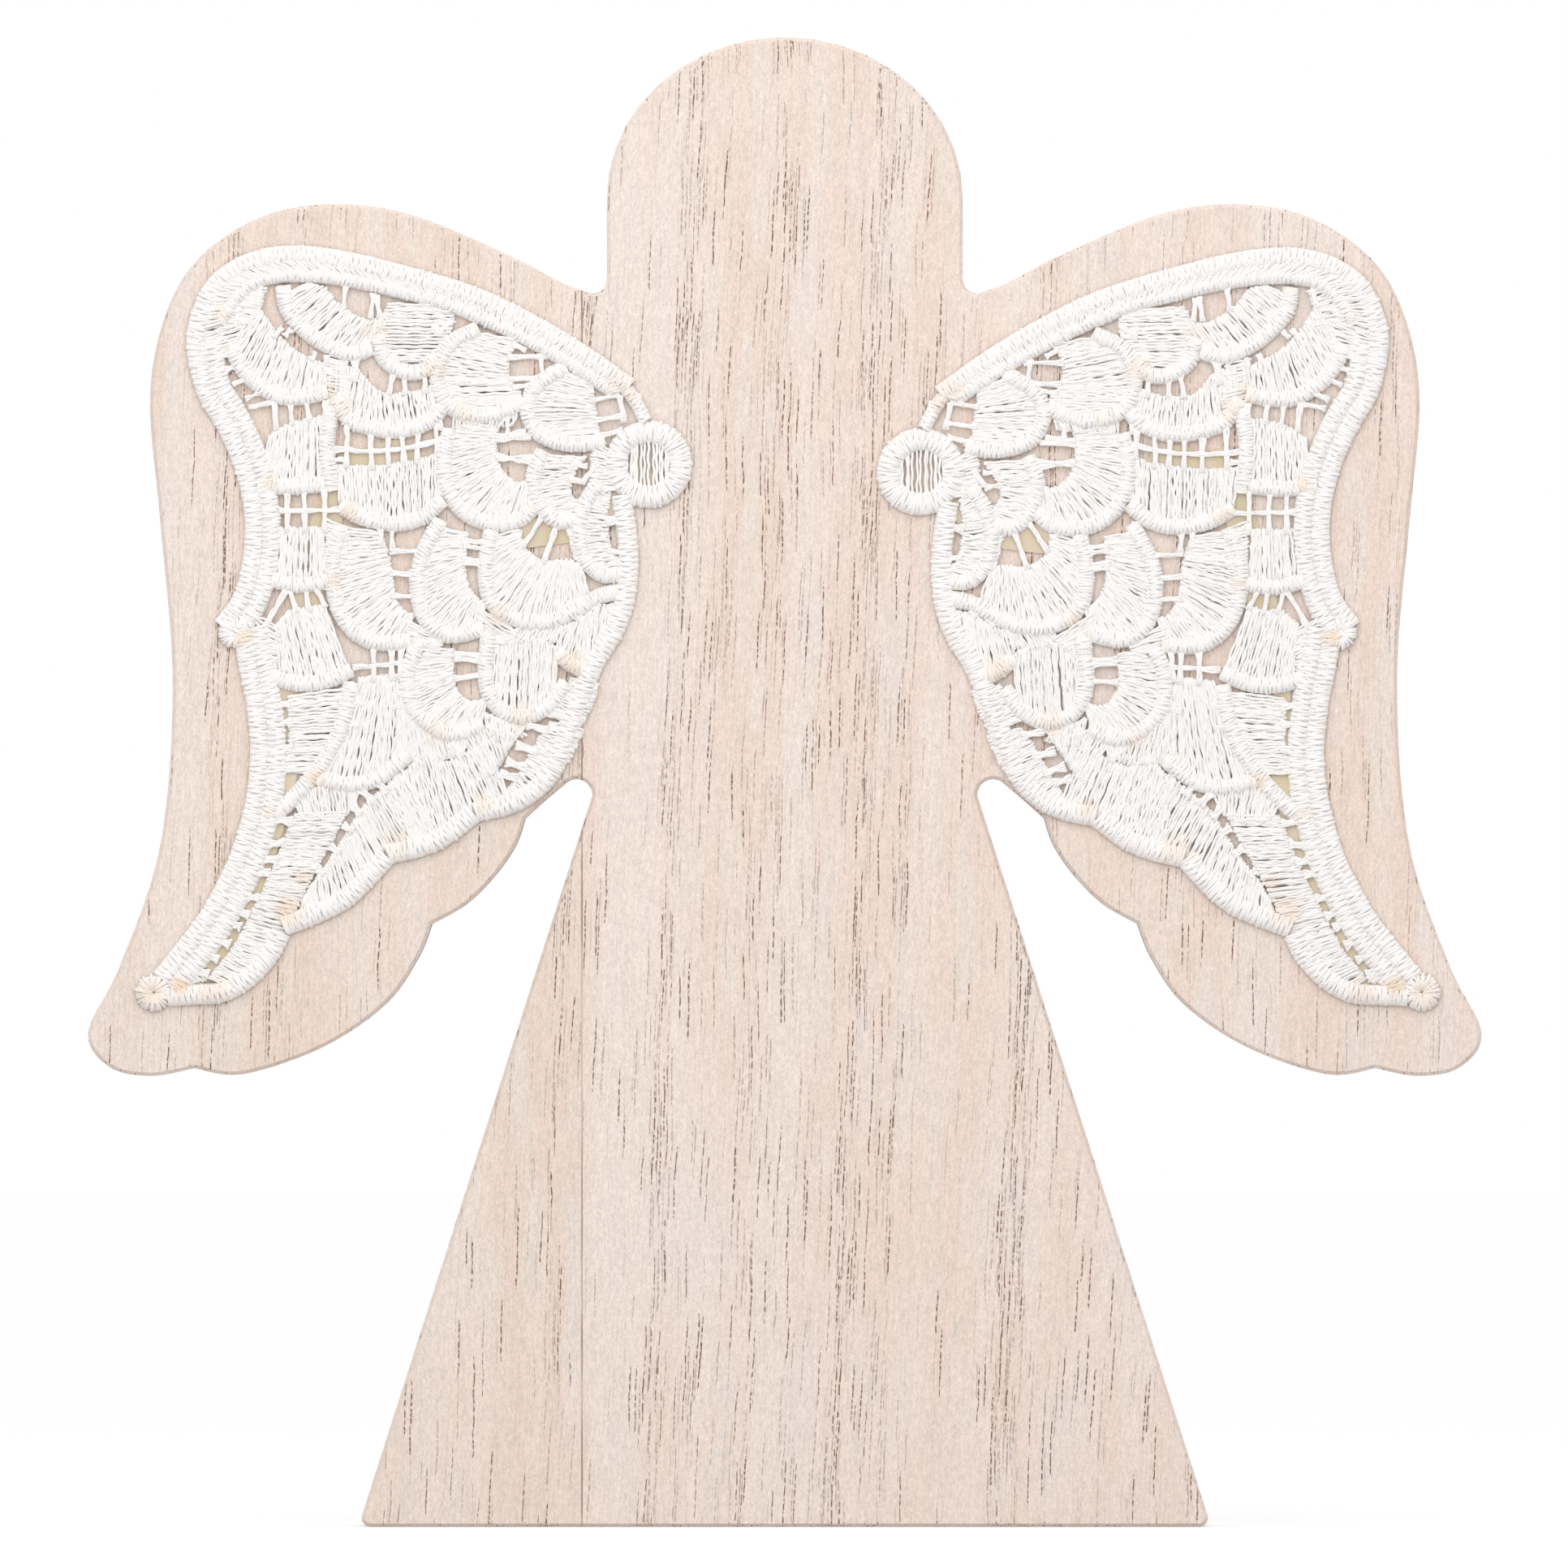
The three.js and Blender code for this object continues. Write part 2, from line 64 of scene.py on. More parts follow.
Spot = tuple[float, float]
Line = list[Spot]
Range = tuple[float, float]
Colour = tuple[float, float, float]
Socket = bpy.types.NodeSocket


class Side(Enum):
    """Which wing a piece belongs to, as seen from the front."""

    LEFT = -1
    RIGHT = 1


@dataclass(frozen=True)
class Stitch:
    """How satin stitches are laid: lengths in millimetres, and the zigzag as a share of the pitch."""

    pitch: float
    crown: float
    radius: float
    flatness: float
    zigzag: float
    stagger: float = 0.0

    def arch(self, share: float) -> float:
        """How much of its crown a stitch has at a share of its half width."""
        return (1 - abs(share) ** self.flatness) ** 0.5


class StitchKind(Enum):
    """The kinds of satin stitches."""

    BORDER = Stitch(pitch=0.25, crown=0.52, radius=THREAD, flatness=2.2, zigzag=0.36, stagger=0.04)
    BAND = Stitch(pitch=0.24, crown=0.44, radius=THREAD, flatness=2.4, zigzag=0.38, stagger=0.04)
    CORD = Stitch(pitch=0.18, crown=0.5, radius=FINE_THREAD, flatness=2.0, zigzag=0.34)
    KNOB = Stitch(pitch=0.18, crown=0.5, radius=FINE_THREAD, flatness=2.0, zigzag=0.3)


@dataclass(frozen=True)
class Bar:
    """How a bar is made: its half width and height in millimetres, and its strands."""

    reach: float
    strands: int
    height: float


class BarKind(Enum):
    """The kinds of bars: the thin rails of the cells, the bars across gaps and the broad ties."""

    RAIL = Bar(reach=0.07, strands=2, height=0.1)
    BAR = Bar(reach=0.18, strands=4, height=0.34)
    TIE = Bar(reach=0.36, strands=6, height=0.34)


def linear(red: int, green: int, blue: int) -> Colour:
    """Turns a display colour of 0 to 255 into the linear colour that shaders take.

    Args:
        red: Red share on the display.
        green: Green share on the display.
        blue: Blue share on the display.

    Returns:
        The same colour in linear light.
    """
    def channel(value: int) -> float:
        """One channel in linear light."""
        share = value / 255
        return share / 12.92 if share <= 0.04045 else ((share + 0.055) / 1.055) ** 2.4

    return channel(red), channel(green), channel(blue)


def new_object(name: str, points: list, faces: list, material: bpy.types.Material) -> bpy.types.Object:
    """Makes a mesh object and puts it in the scene.

    Args:
        name: Name of the object.
        points: Its points in metres.
        faces: The points of each face.
        material: Its finish.

    Returns:
        The new object.
    """
    mesh = bpy.data.meshes.new(name)
    mesh.from_pydata(points, [], faces)
    mesh.materials.append(material)
    made = bpy.data.objects.new(name, mesh)
    bpy.context.scene.collection.objects.link(made)
    return made


class Graph:
    """Adds nodes to a shader tree and joins them."""

    def __init__(self, tree: bpy.types.NodeTree) -> None:
        """Keeps the tree to build in."""
        self.tree = tree

    def add(self, kind: str, **settings: object) -> bpy.types.Node:
        """Adds one node.

        Args:
            kind: Name of the node type, without its ShaderNode prefix.
            settings: Properties of the node.

        Returns:
            The new node.
        """
        node = self.tree.nodes.new(kind if kind.startswith("NodeGroup") else f"ShaderNode{kind}")
        for name, value in settings.items():
            setattr(node, name, value)
        return node

    def feed(self, socket: Socket, source: object) -> None:
        """Sets a socket to a value, or joins another node's output to it.

        Args:
            socket: The input to set.
            source: A number, a colour, a vector or an output socket.
        """
        if isinstance(source, Socket):
            self.tree.links.new(source, socket)
        elif isinstance(source, tuple) and len(source) == 3 and socket.type == "RGBA":
            socket.default_value = (*source, 1)
        else:
            socket.default_value = source

    def feed_all(self, inputs: bpy.types.NodeInputs, sources: dict[str, object]) -> None:
        """Feeds several named inputs."""
        for name, source in sources.items():
            self.feed(inputs[name], source)

    def math(self, operation: str, *values: object, clamp: bool = False) -> Socket:
        """Adds a math node.

        Args:
            operation: Blender's name of the operation.
            values: Numbers or sockets, one for each input.
            clamp: Whether the result stays between 0 and 1.

        Returns:
            The result.
        """
        node = self.add("Math", operation=operation, use_clamp=clamp)
        for socket, value in zip(node.inputs, values):
            self.feed(socket, value)
        return node.outputs[0]

    def vector(self, operation: str, *values: object) -> Socket:
        """Adds a vector math node.

        Args:
            operation: Blender's name of the operation.
            values: Vectors or sockets, one for each input.

        Returns:
            The resulting vector.
        """
        node = self.add("VectorMath", operation=operation)
        for socket, value in zip(node.inputs, values):
            self.feed(socket, value)
        return node.outputs[0]

    def scaled(self, vector: Socket, factor: object) -> Socket:
        """Multiplies a vector or a colour.

        Args:
            vector: The vector or colour.
            factor: A number or a socket.

        Returns:
            The product.
        """
        product = self.vector("SCALE", vector)
        self.feed(product.node.inputs["Scale"], factor)
        return product

    def stretched(self, where: Socket, across: float, along: float) -> Socket:
        """Scales coordinates across the grain, in X and Y, and along it, in Z."""
        return self.vector("MULTIPLY", where, (across, across, along))

    def parts(self, vector: Socket) -> bpy.types.NodeOutputs:
        """Splits a vector or a colour.

        Args:
            vector: The vector or colour.

        Returns:
            Its X, Y and Z.
        """
        node = self.add("SeparateXYZ")
        self.feed(node.inputs[0], vector)
        return node.outputs

    def blend(self, share: Socket, first: object, second: object) -> Socket:
        """Mixes two colours.

        Args:
            share: How much of the second colour shows.
            first: Colour or socket at share 0.
            second: Colour or socket at share 1.

        Returns:
            The mixed colour.
        """
        node = self.add("Mix", data_type="RGBA")
        # Inputs 6 and 7 and output 2 are the node's sockets for colours
        for place, value in ((0, share), (6, first), (7, second)):
            self.feed(node.inputs[place], value)
        return node.outputs[2]

    def spread(self, value: Socket, given: Range, wanted: Range) -> Socket:
        """Maps a range of values smoothly onto another range.

        Args:
            value: Socket to map.
            given: Start and end of its range.
            wanted: Results at the start and at the end.

        Returns:
            The mapped value.
        """
        node = self.add("MapRange", interpolation_type="SMOOTHSTEP")
        for socket, number in zip(node.inputs, (value, *given, *wanted)):
            self.feed(socket, number)
        return node.outputs[0]

    def noise(self, where: Socket, across: float, along: float, detail: float) -> Socket:
        """Adds a noise, drawn out along the grain where it is less fine there than across it.

        Args:
            where: Coordinates to read it at, with the grain along Z.
            across: How fine it is across the grain.
            along: How fine it is along the grain.
            detail: How many finer layers it has.

        Returns:
            The noise.
        """
        node = self.add("TexNoise")
        spot = self.stretched(where, across, along)
        self.feed_all(node.inputs, {"Vector": spot, "Scale": 1, "Detail": detail})
        return node.outputs["Fac"]

    def relief(self, height: Socket, strength: float, depth: float) -> Socket:
        """Turns a height into a normal.

        Args:
            height: Height over the surface.
            strength: How much of it shows.
            depth: Depth of the relief in millimetres.

        Returns:
            The normal.
        """
        bump = self.add("Bump")
        self.feed_all(bump.inputs, {"Strength": strength, "Distance": depth * MM, "Height": height})
        return bump.outputs["Normal"]

    def seen(self, cast: float, shown: float) -> Socket:
        """A light that shows with another strength than it casts.

        Args:
            cast: Strength for the light on the object.
            shown: Strength for the camera, for gloss and for glass.

        Returns:
            The strength.
        """
        path = self.add("LightPath").outputs
        mirrored = self.math("ADD", path["Is Glossy Ray"], path["Is Transmission Ray"])
        share = self.math("ADD", path["Is Camera Ray"], mirrored, clamp=True)
        return self.math("MULTIPLY_ADD", share, shown - cast, cast)


def new_group(name: str, inputs: dict[str, str], outputs: dict[str, str]) -> bpy.types.NodeTree:
    """Starts a shader node group with named sockets.

    Args:
        name: Name of the group.
        inputs: Socket type of each input.
        outputs: Socket type of each output.

    Returns:
        The empty group.
    """
    tree = bpy.data.node_groups.new(name, "ShaderNodeTree")
    for way, sockets in (("INPUT", inputs), ("OUTPUT", outputs)):
        for socket, kind in sockets.items():
            tree.interface.new_socket(socket, in_out=way, socket_type=kind)
    return tree


class BoardGrain:
    """Node group for the whitewashed, ring-porous board: colour with painted shade on its edges, roughness
    and height over the wood.

    A noise holds how fine it is across and along the grain, and how many finer layers it has.
    Pores hold how many there are in a millimetre across and along the grain, and the radius of one.
    Growth rings hold places across the board in millimetres, and how open the grain is there.
    """

    slant = 0.037
    shift = -1.05
    wander = (0.05, 0.035, 2)
    wander_reach = 1.8
    wobble = (0.6, 0.4, 2)
    wobble_reach = 0.3
    fibre = (6, 0.2, 3)
    fibre_tone = (0.95, 1.03)
    fibre_height = 0.35
    fleck = (5, 1.8, 2)
    fleck_tone = (-0.06, 0.045)
    fleck_height = 0.25
    dust = (9, 5, 1)
    dust_tone = (-0.066, 0.066)
    broad = (0.2, 0.012, 2)
    broad_range = (0.36, 0.64)
    cloud = (0.4, 0.06, 3)
    cloud_range = (0.44, 0.7)
    chalk_share = 0.7
    ring_range = (0.2, 1)
    ring_heart = 0.35
    roughness = (0.68, 0.86)
    pore_wall = (0.7, 1.15)
    pore_depth = (0.5, 1)
    pore_dark = 0.9
    hair_share = (0.12, 0.4)
    hair_dark = 0.5
    beads = (4, 2.2, 3)
    bead_range = (0.41, 0.55)
    bead_depth = (0.08, 1)
    # Where the edges get painted shade: how far they turn from the front, and how much more the sideways ones
    # get
    edge_turn = (0.3, 0.85)
    side_turn = (0.2, 0.6)
    side_share = (0.1, 1)
    board_reach = 62.0
    open_pores = (4.0, 0.23, 0.07)
    hair_pores = (5.2, 0.27, 0.043)
    growth_rings = (
        (-53.5, 0.08), (-51.6, 0.85), (-50, 0.1), (-46.8, 0.12), (-45.4, 0.7), (-44, 0.08), (-30, 0.1),
        (-21.9, 0.12), (-20.7, 1), (-19.9, 0.12), (-13.4, 0.06), (-12.5, 0.9), (-11.8, 1), (-11, 0.2),
        (-8.4, 0.35), (-7, 0.06), (-5.6, 0.2), (-4.4, 0.55), (-3, 0.4), (-1.5, 0.12), (0, 0.25),
        (2.6, 0.08), (3.7, 1), (4.8, 1), (5.4, 0.15), (7.9, 0.4), (9.4, 0.06), (17.4, 0.08), (18.1, 1),
        (18.9, 1), (20.2, 0.4), (22, 0.15),
    )

    def __init__(self) -> None:
        """Builds the group once."""
        # Edge is the colour of the painted shade on the board's edges
        colours = dict.fromkeys(("Wash", "Heart", "Chalk", "Pore", "Edge"), COLOUR)
        numbers = dict.fromkeys(("Pore share", "Edge shade"), NUMBER)
        outputs = {"Color": COLOUR, "Roughness": NUMBER, "Height": NUMBER}
        self.tree = new_group("Board grain", colours | numbers, outputs)
        self.graph = Graph(self.tree)
        self._fill()

    def _fill(self) -> None:
        """Adds the nodes of the group."""
        graph = self.graph
        given = graph.add("NodeGroupInput").outputs
        where = self._grain_place()
        rings = self._ring_ramp(where)
        fibre = graph.noise(where, *self.fibre)
        fleck = graph.noise(where, *self.fleck)
        dust = graph.noise(where, *self.dust)
        broad = graph.noise(where, *self.broad)
        cloud = graph.noise(where, *self.cloud)
        pores = self._pores(where, graph.math("MULTIPLY", rings, given["Pore share"]), self.open_pores)
        hairs = self._pores(where, graph.spread(rings, (0, 1), self.hair_share), self.hair_pores)
        pores = graph.math("MAXIMUM", pores, graph.math("MULTIPLY", hairs, self.hair_dark))
        wash = graph.blend(graph.spread(broad, self.broad_range, (0, 1)), given["Wash"], given["Heart"])
        wash = graph.blend(graph.spread(rings, self.ring_range, (0, self.ring_heart)), wash, given["Heart"])
        wash = graph.blend(graph.spread(cloud, self.cloud_range, (0, self.chalk_share)), wash, given["Chalk"])
        tone = graph.spread(fibre, NOISE_RANGE, self.fibre_tone)
        tone = graph.math("ADD", tone, graph.spread(fleck, NOISE_RANGE, self.fleck_tone))
        tone = graph.math("ADD", tone, graph.spread(dust, NOISE_RANGE, self.dust_tone))
        toned = graph.scaled(wash, tone)
        dark = graph.blend(graph.math("MULTIPLY", pores, self.pore_dark), toned, given["Pore"])
        # Painted shade: the edges darken towards the edge colour, most where they face sideways
        shade = graph.math("MULTIPLY", self._edge_shade_mask(), given["Edge shade"])
        flecks = graph.math("MULTIPLY", fleck, self.fleck_height)
        height = graph.math("MULTIPLY_ADD", fibre, self.fibre_height, flecks)
        graph.feed_all(graph.add("NodeGroupOutput").inputs, {
            "Color": graph.blend(shade, dark, given["Edge"]),
            "Roughness": graph.spread(fleck, NOISE_RANGE, self.roughness),
            "Height": graph.math("SUBTRACT", height, pores),
        })

    def _grain_place(self) -> Socket:
        """Coordinates in millimetres that follow the slant and the wander of the grain.

        Returns:
            The coordinates, with the grain along Z.
        """
        graph = self.graph
        place = graph.scaled(graph.add("TexCoord").outputs["Object"], 1 / MM)
        parts = graph.parts(place)
        wander = graph.noise(place, *self.wander)
        wobble = graph.noise(place, *self.wobble)
        lean = graph.math("MULTIPLY_ADD", parts["Z"], -self.slant, parts["X"])
        bent = graph.math("MULTIPLY_ADD", wander, self.wander_reach, graph.math("ADD", lean, self.shift))
        joined = graph.add("CombineXYZ")
        across = graph.math("MULTIPLY_ADD", wobble, self.wobble_reach, bent)
        graph.feed_all(joined.inputs, {"X": across, "Y": parts["Y"], "Z": parts["Z"]})
        return joined.outputs[0]

    def _ring_ramp(self, where: Socket) -> Socket:
        """How open the grain is across the board, from the growth rings.

        Args:
            where: Grain coordinates.

        Returns:
            The share of open grain.
        """
        graph = self.graph
        half = 0.5 / self.board_reach
        ramp = graph.add("ValToRGB")
        stops = ramp.color_ramp.elements
        while len(stops) < len(self.growth_rings):
            stops.new(1.0)
        for stop, (place, strength) in zip(stops, self.growth_rings):
            stop.position = 0.5 + half * place
            stop.color = (strength, strength, strength, 1)
        graph.feed(ramp.inputs[0], graph.math("MULTIPLY_ADD", graph.parts(where)["X"], half, 0.5, clamp=True))
        return ramp.outputs["Color"]

    def _pores(self, where: Socket, share: Socket, size: tuple[float, float, float]) -> Socket:
        """Open pores: thin tubes along the grain, crowded in the growth rings and cut open by the faces.

        Args:
            where: Grain coordinates.
            share: How many of the places hold a pore.
            size: Pores in a millimetre across and along the grain, and the radius of one.

        Returns:
            A mask of the pores.
        """
        graph = self.graph
        crowd, stretch, radius = size
        spot = graph.stretched(where, crowd, stretch)
        cells = graph.add("TexVoronoi", feature="F1", distance="EUCLIDEAN")
        graph.feed_all(cells.inputs, {"Vector": spot, "Scale": 1})
        gap = graph.vector("SUBTRACT", cells.outputs["Position"], spot)
        reach = graph.add("VectorMath", operation="LENGTH")
        graph.feed(reach.inputs[0], graph.stretched(gap, 1, 0))
        chance = graph.parts(cells.outputs["Color"])
        present = graph.math("LESS_THAN", chance["X"], share)
        inner, outer = (wall * radius * crowd for wall in self.pore_wall)
        tube = graph.spread(reach.outputs["Value"], (inner, outer), (1, 0))
        depth = graph.spread(chance["Y"], (0, 1), self.pore_depth)
        beads = graph.spread(graph.noise(where, *self.beads), self.bead_range, self.bead_depth)
        shown = graph.math("MULTIPLY", present, tube)
        return graph.math("MULTIPLY", shown, graph.math("MULTIPLY", depth, beads))

    def _edge_shade_mask(self) -> Socket:
        """A mask of painted shade on the eased arris and the side faces, strongest where they face sideways.

        Returns:
            1 on the edge and 0 on the faces.
        """
        graph = self.graph
        facing = graph.parts(graph.add("NewGeometry").outputs["True Normal"])
        edge = graph.spread(graph.math("ABSOLUTE", facing["Y"]), self.edge_turn, (1, 0))
        sideways = graph.spread(graph.math("ABSOLUTE", facing["X"]), self.side_turn, self.side_share)
        return graph.math("MULTIPLY", edge, sideways)


class ThreadPly:
    """Node group for twisted embroidery thread: tinted colour with painted shade in the grooves between its
    plies, and the ridges of its plies.

    The attribute thread holds the length along the thread, the turn round it and the tint of a tie-in.
    """

    plies = 3.0
    fuzz = (7500, 7500, 3)
    patch = (420, 420, 2)
    aged_range = (0.35, 0.65)
    aged_share = 0.035
    tied_range = (0.3, 0.6)
    tied_share = (0.6, 1)
    # Painted shade in the grooves between the plies: the fuzzed turn of the plies maps to a slightly darker
    # tone
    groove_fuzz = 2.5
    groove_range = (0.2, 1.8)
    groove_shade_tone = (0.97, 1)
    ridge = 0.35

    def __init__(self) -> None:
        """Builds the group once."""
        inputs = {"Thread": COLOUR, "Tie-in": COLOUR, "Twist": NUMBER}
        self.tree = new_group("Thread ply", inputs, {"Color": COLOUR, "Height": NUMBER})
        graph = Graph(self.tree)
        given = graph.add("NodeGroupInput").outputs
        run = graph.parts(graph.add("Attribute", attribute_name="thread").outputs["Vector"])
        twist = graph.math("MULTIPLY", run["X"], given["Twist"])
        turn = graph.math("MULTIPLY_ADD", run["Y"], self.plies, twist)
        ply = graph.math("SINE", graph.math("MULTIPLY", turn, 2 * math.pi))
        where = graph.add("TexCoord").outputs["Object"]
        fuzz = graph.noise(where, *self.fuzz)
        patch = graph.noise(where, *self.patch)
        aged = graph.spread(patch, self.aged_range, (0, self.aged_share))
        tied = graph.math("MULTIPLY", run["Z"], graph.spread(patch, self.tied_range, self.tied_share))
        tinted = graph.blend(tied, graph.blend(aged, given["Thread"], given["Tie-in"]), given["Tie-in"])
        # Painted shade: the thread darkens a little in the grooves between its plies
        ply_fuzzed = graph.math("MULTIPLY_ADD", fuzz, self.groove_fuzz, ply)
        groove = graph.spread(ply_fuzzed, self.groove_range, self.groove_shade_tone)
        graph.feed_all(graph.add("NodeGroupOutput").inputs, {
            "Color": graph.scaled(tinted, groove),
            "Height": graph.math("MULTIPLY_ADD", ply, self.ridge, fuzz),
        })


@dataclass(frozen=True)
class Finish:
    """A material around Blender's main shader."""

    name: str

    def start(self) -> tuple[bpy.types.Material, Graph, bpy.types.NodeInputs]:
        """Starts the material.

        Returns:
            The new material, its graph and the inputs of its shader.
        """
        made = bpy.data.materials.new(self.name)
        made.use_nodes = True
        return made, Graph(made.node_tree), made.node_tree.nodes["Principled BSDF"].inputs


@dataclass(frozen=True)
class WoodFinish(Finish):
    """Whitewashed wood of one stave."""

    wash: Colour
    heart: Colour
    chalk: Colour
    pore: Colour
    # Colour of the painted shade on the edges; edge_shade is how strong it is
    edge: Colour
    pore_share: float
    edge_shade: float = 0.5
    bump: float = 0.35
    bump_depth: float = 0.12
    gloss: float = 0.25

    def material(self, grain: BoardGrain) -> bpy.types.Material:
        """Makes the finish.

        Args:
            grain: The shared node group.

        Returns:
            A new material.
        """
        made, graph, shader = self.start()
        group = graph.add("Group", node_tree=grain.tree)
        graph.feed_all(group.inputs, {
            "Wash": self.wash, "Heart": self.heart, "Chalk": self.chalk, "Pore": self.pore, "Edge": self.edge,
            "Pore share": self.pore_share, "Edge shade": self.edge_shade,
        })
        graph.feed_all(shader, {
            "Base Color": group.outputs["Color"],
            "Roughness": group.outputs["Roughness"],
            "Normal": graph.relief(group.outputs["Height"], self.bump, self.bump_depth),
            "Specular IOR Level": self.gloss,
        })
        return made


@dataclass(frozen=True)
class ThreadFinish(Finish):
    """White embroidery thread."""

    thread: Colour
    tie_in: Colour
    twist: float
    sheen: float = 0.1
    sheen_roughness: float = 0.4
    roughness: float = 0.62
    gloss: float = 0.3
    bump: float = 0.45
    bump_depth: float = 0.05

    def material(self, ply: ThreadPly) -> bpy.types.Material:
        """Makes the finish.

        Args:
            ply: The shared node group.

        Returns:
            A new material.
        """
        made, graph, shader = self.start()
        group = graph.add("Group", node_tree=ply.tree)
        graph.feed_all(group.inputs, {"Thread": self.thread, "Tie-in": self.tie_in, "Twist": self.twist})
        graph.feed_all(shader, {
            "Base Color": group.outputs["Color"],
            "Normal": graph.relief(group.outputs["Height"], self.bump, self.bump_depth),
            "Roughness": self.roughness,
            "Sheen Weight": self.sheen,
            "Sheen Roughness": self.sheen_roughness,
            "Specular IOR Level": self.gloss,
        })
        return made


@dataclass(frozen=True)
class GlueFinish(Finish):
    """Set glue with wood dust and whitewash in it, a clear film of it, or the dusty ground of the lace."""

    film: Colour
    dust: Colour
    roughness: float
    fineness: float
    dust_range: Range = (0.4, 0.62)
    dust_share: float = 0.85
    layers: int = 3
    stretch: float = 4.0

    def material(self) -> bpy.types.Material:
        """Makes the finish.

        Returns:
            A new material.
        """
        made, graph, shader = self.start()
        where = graph.add("TexCoord").outputs["Object"]
        dust = graph.noise(where, self.fineness, self.fineness / self.stretch, self.layers)
        share = graph.spread(dust, self.dust_range, (0, self.dust_share))
        colour = graph.blend(share, self.film, self.dust)
        graph.feed_all(shader, {"Base Color": colour, "Roughness": self.roughness})
        return made


@dataclass(frozen=True)
class FloorFinish(Finish):
    """Pale floor that shows almost white and keeps the shadow."""

    colour: Colour
    lift: float
    roughness: float = 0.9

    def material(self) -> bpy.types.Material:
        """Makes the finish.

        Returns:
            A new material.
        """
        made, graph, shader = self.start()
        graph.feed_all(shader, {
            "Base Color": self.colour,
            "Roughness": self.roughness,
            "Specular IOR Level": 0.0,
            "Emission Color": (1.0, 1.0, 1.0),
            "Emission Strength": graph.seen(0.0, self.lift),
        })
        return made


class Course:
    """A smooth line through given points, read by the distance along it."""

    steps_per_span = 8
    beside_step = 1.5

    def __init__(self, points: list[Vector], closed: bool = False) -> None:
        """Lays the line.

        Args:
            points: Points in millimetres.
            closed: Whether the line runs back to its start.
        """
        self.line = self._smoothed(points, closed) if len(points) > 2 else points
        self.runs = [0.0]
        for start, end in zip(self.line, self.line[1:]):
            self.runs.append(self.runs[-1] + (end - start).length)
        self.length = self.runs[-1]

    def _smoothed(self, points: list[Vector], closed: bool) -> list[Vector]:
        """Fills in a curve that passes through every point.

        Args:
            points: Points to pass through.
            closed: Whether the curve runs back to its start.

        Returns:
            Points close together along the curve.
        """
        if closed:
            row = [points[-1], *points, *points[:2]]
        else:
            row = [2 * points[0] - points[1], *points, 2 * points[-1] - points[-2]]
        line = []
        for before, start, end, after in zip(row, row[1:], row[2:], row[3:]):
            for step in range(self.steps_per_span):
                t = step / self.steps_per_span
                line.append(0.5 * (
                    2 * start + (end - before) * t
                    + (2 * before - 5 * start + 4 * end - after) * t ** 2
                    + (3 * start - before - 3 * end + after) * t ** 3
                ))
        return [*line, row[-2]]

    def at(self, distance: float) -> tuple[Vector, Vector, Vector]:
        """Reads the line.

        Args:
            distance: Millimetres from the start.

        Returns:
            The point there, the direction of the line and the direction to its left.
        """
        distance = min(max(distance, 0.0), self.length)
        low = min(bisect_right(self.runs, distance), len(self.runs) - 1) - 1
        start, end = self.line[low:low + 2]
        along = (end - start).normalized()
        share = (distance - self.runs[low]) / (self.runs[low + 1] - self.runs[low])
        return start.lerp(end, share), along, Vector((-along.y, along.x))

    def beside(self, offset: float) -> "Course":
        """A line that runs beside this one.

        Args:
            offset: How far to its left, in millimetres.

        Returns:
            The new line.
        """
        steps = max(2, round(self.length / self.beside_step))
        spots = []
        for i in range(steps + 1):
            spot, _, left = self.at(self.length * i / steps)
            spots.append(spot + offset * left)
        return Course(spots)


@dataclass(frozen=True)
class Satin:
    """A line of satin stitches on the lace chart, with its width in millimetres."""

    kind: StitchKind
    line: Line
    width: float = BORDER_WIDTH
    widening: float = 0.0


# The chart's columns count outwards from the ring's middle and its rows count down, about 0.7 mm each
TOP_BORDER = [
    (2.4, 17.5), (10.5, 12), (20.4, 6.8), (30.2, 3.7), (40.2, 1.5), (47.5, 1.6), (53.2, 4.6),
    (55.8, 10.2), (55.6, 15),
]
BORDER_LINES = (
    Satin(StitchKind.BORDER, TOP_BORDER),
    Satin(StitchKind.BAND, [
        (54.9, 12.2), (53.9, 17.3), (51.6, 21.2), (49.5, 25.7), (48.2, 30.2), (47.7, 35), (48.2, 40),
        (49.5, 44.2), (51.9, 47.5),
    ], width=2.9),
    Satin(StitchKind.BAND, [
        (49.2, 47), (48.6, 51), (47.5, 56.5), (47, 62.7), (47.7, 69.1), (49.5, 75.4), (51.6, 79.9),
        (54.1, 84.2), (59.4, 91),
    ], width=2.9, widening=0.4),
    Satin(StitchKind.BORDER, [
        (59.5, 92.4), (56.2, 92.2), (52.7, 91.9), (49.4, 90), (46.9, 87.2), (45.5, 84.5),
    ]),
    Satin(StitchKind.BORDER, [(45.2, 83.8), (41.4, 82.3), (37.9, 80.6), (34.9, 77.9), (32.4, 75.1)]),
    Satin(StitchKind.BORDER, [(32.2, 74.9), (28.4, 74), (25.4, 72.7), (21.6, 69.9)]),
    Satin(StitchKind.BORDER, [
        (21.4, 69.7), (17.4, 68.8), (14.5, 67.3), (11.9, 64.5), (9.6, 58.7), (6.8, 51.5), (4, 46.7),
        (2.7, 42), (2.6, 36.5), (3.4, 30.7),
    ]),
    Satin(StitchKind.BORDER, [(2.7, 17.7), (1.5, 19.4), (0.4, 21.6)], width=1.3),
)
INNER_TOP_CORD = [
    (4.2, 18), (9.7, 14.4), (14.7, 11.6), (20.2, 9), (25.4, 6.9), (30.2, 5.7), (35.2, 4.5), (40.2, 3.7),
    (45, 3.6), (48.7, 4.4), (51.2, 6.5), (53, 9.6),
]
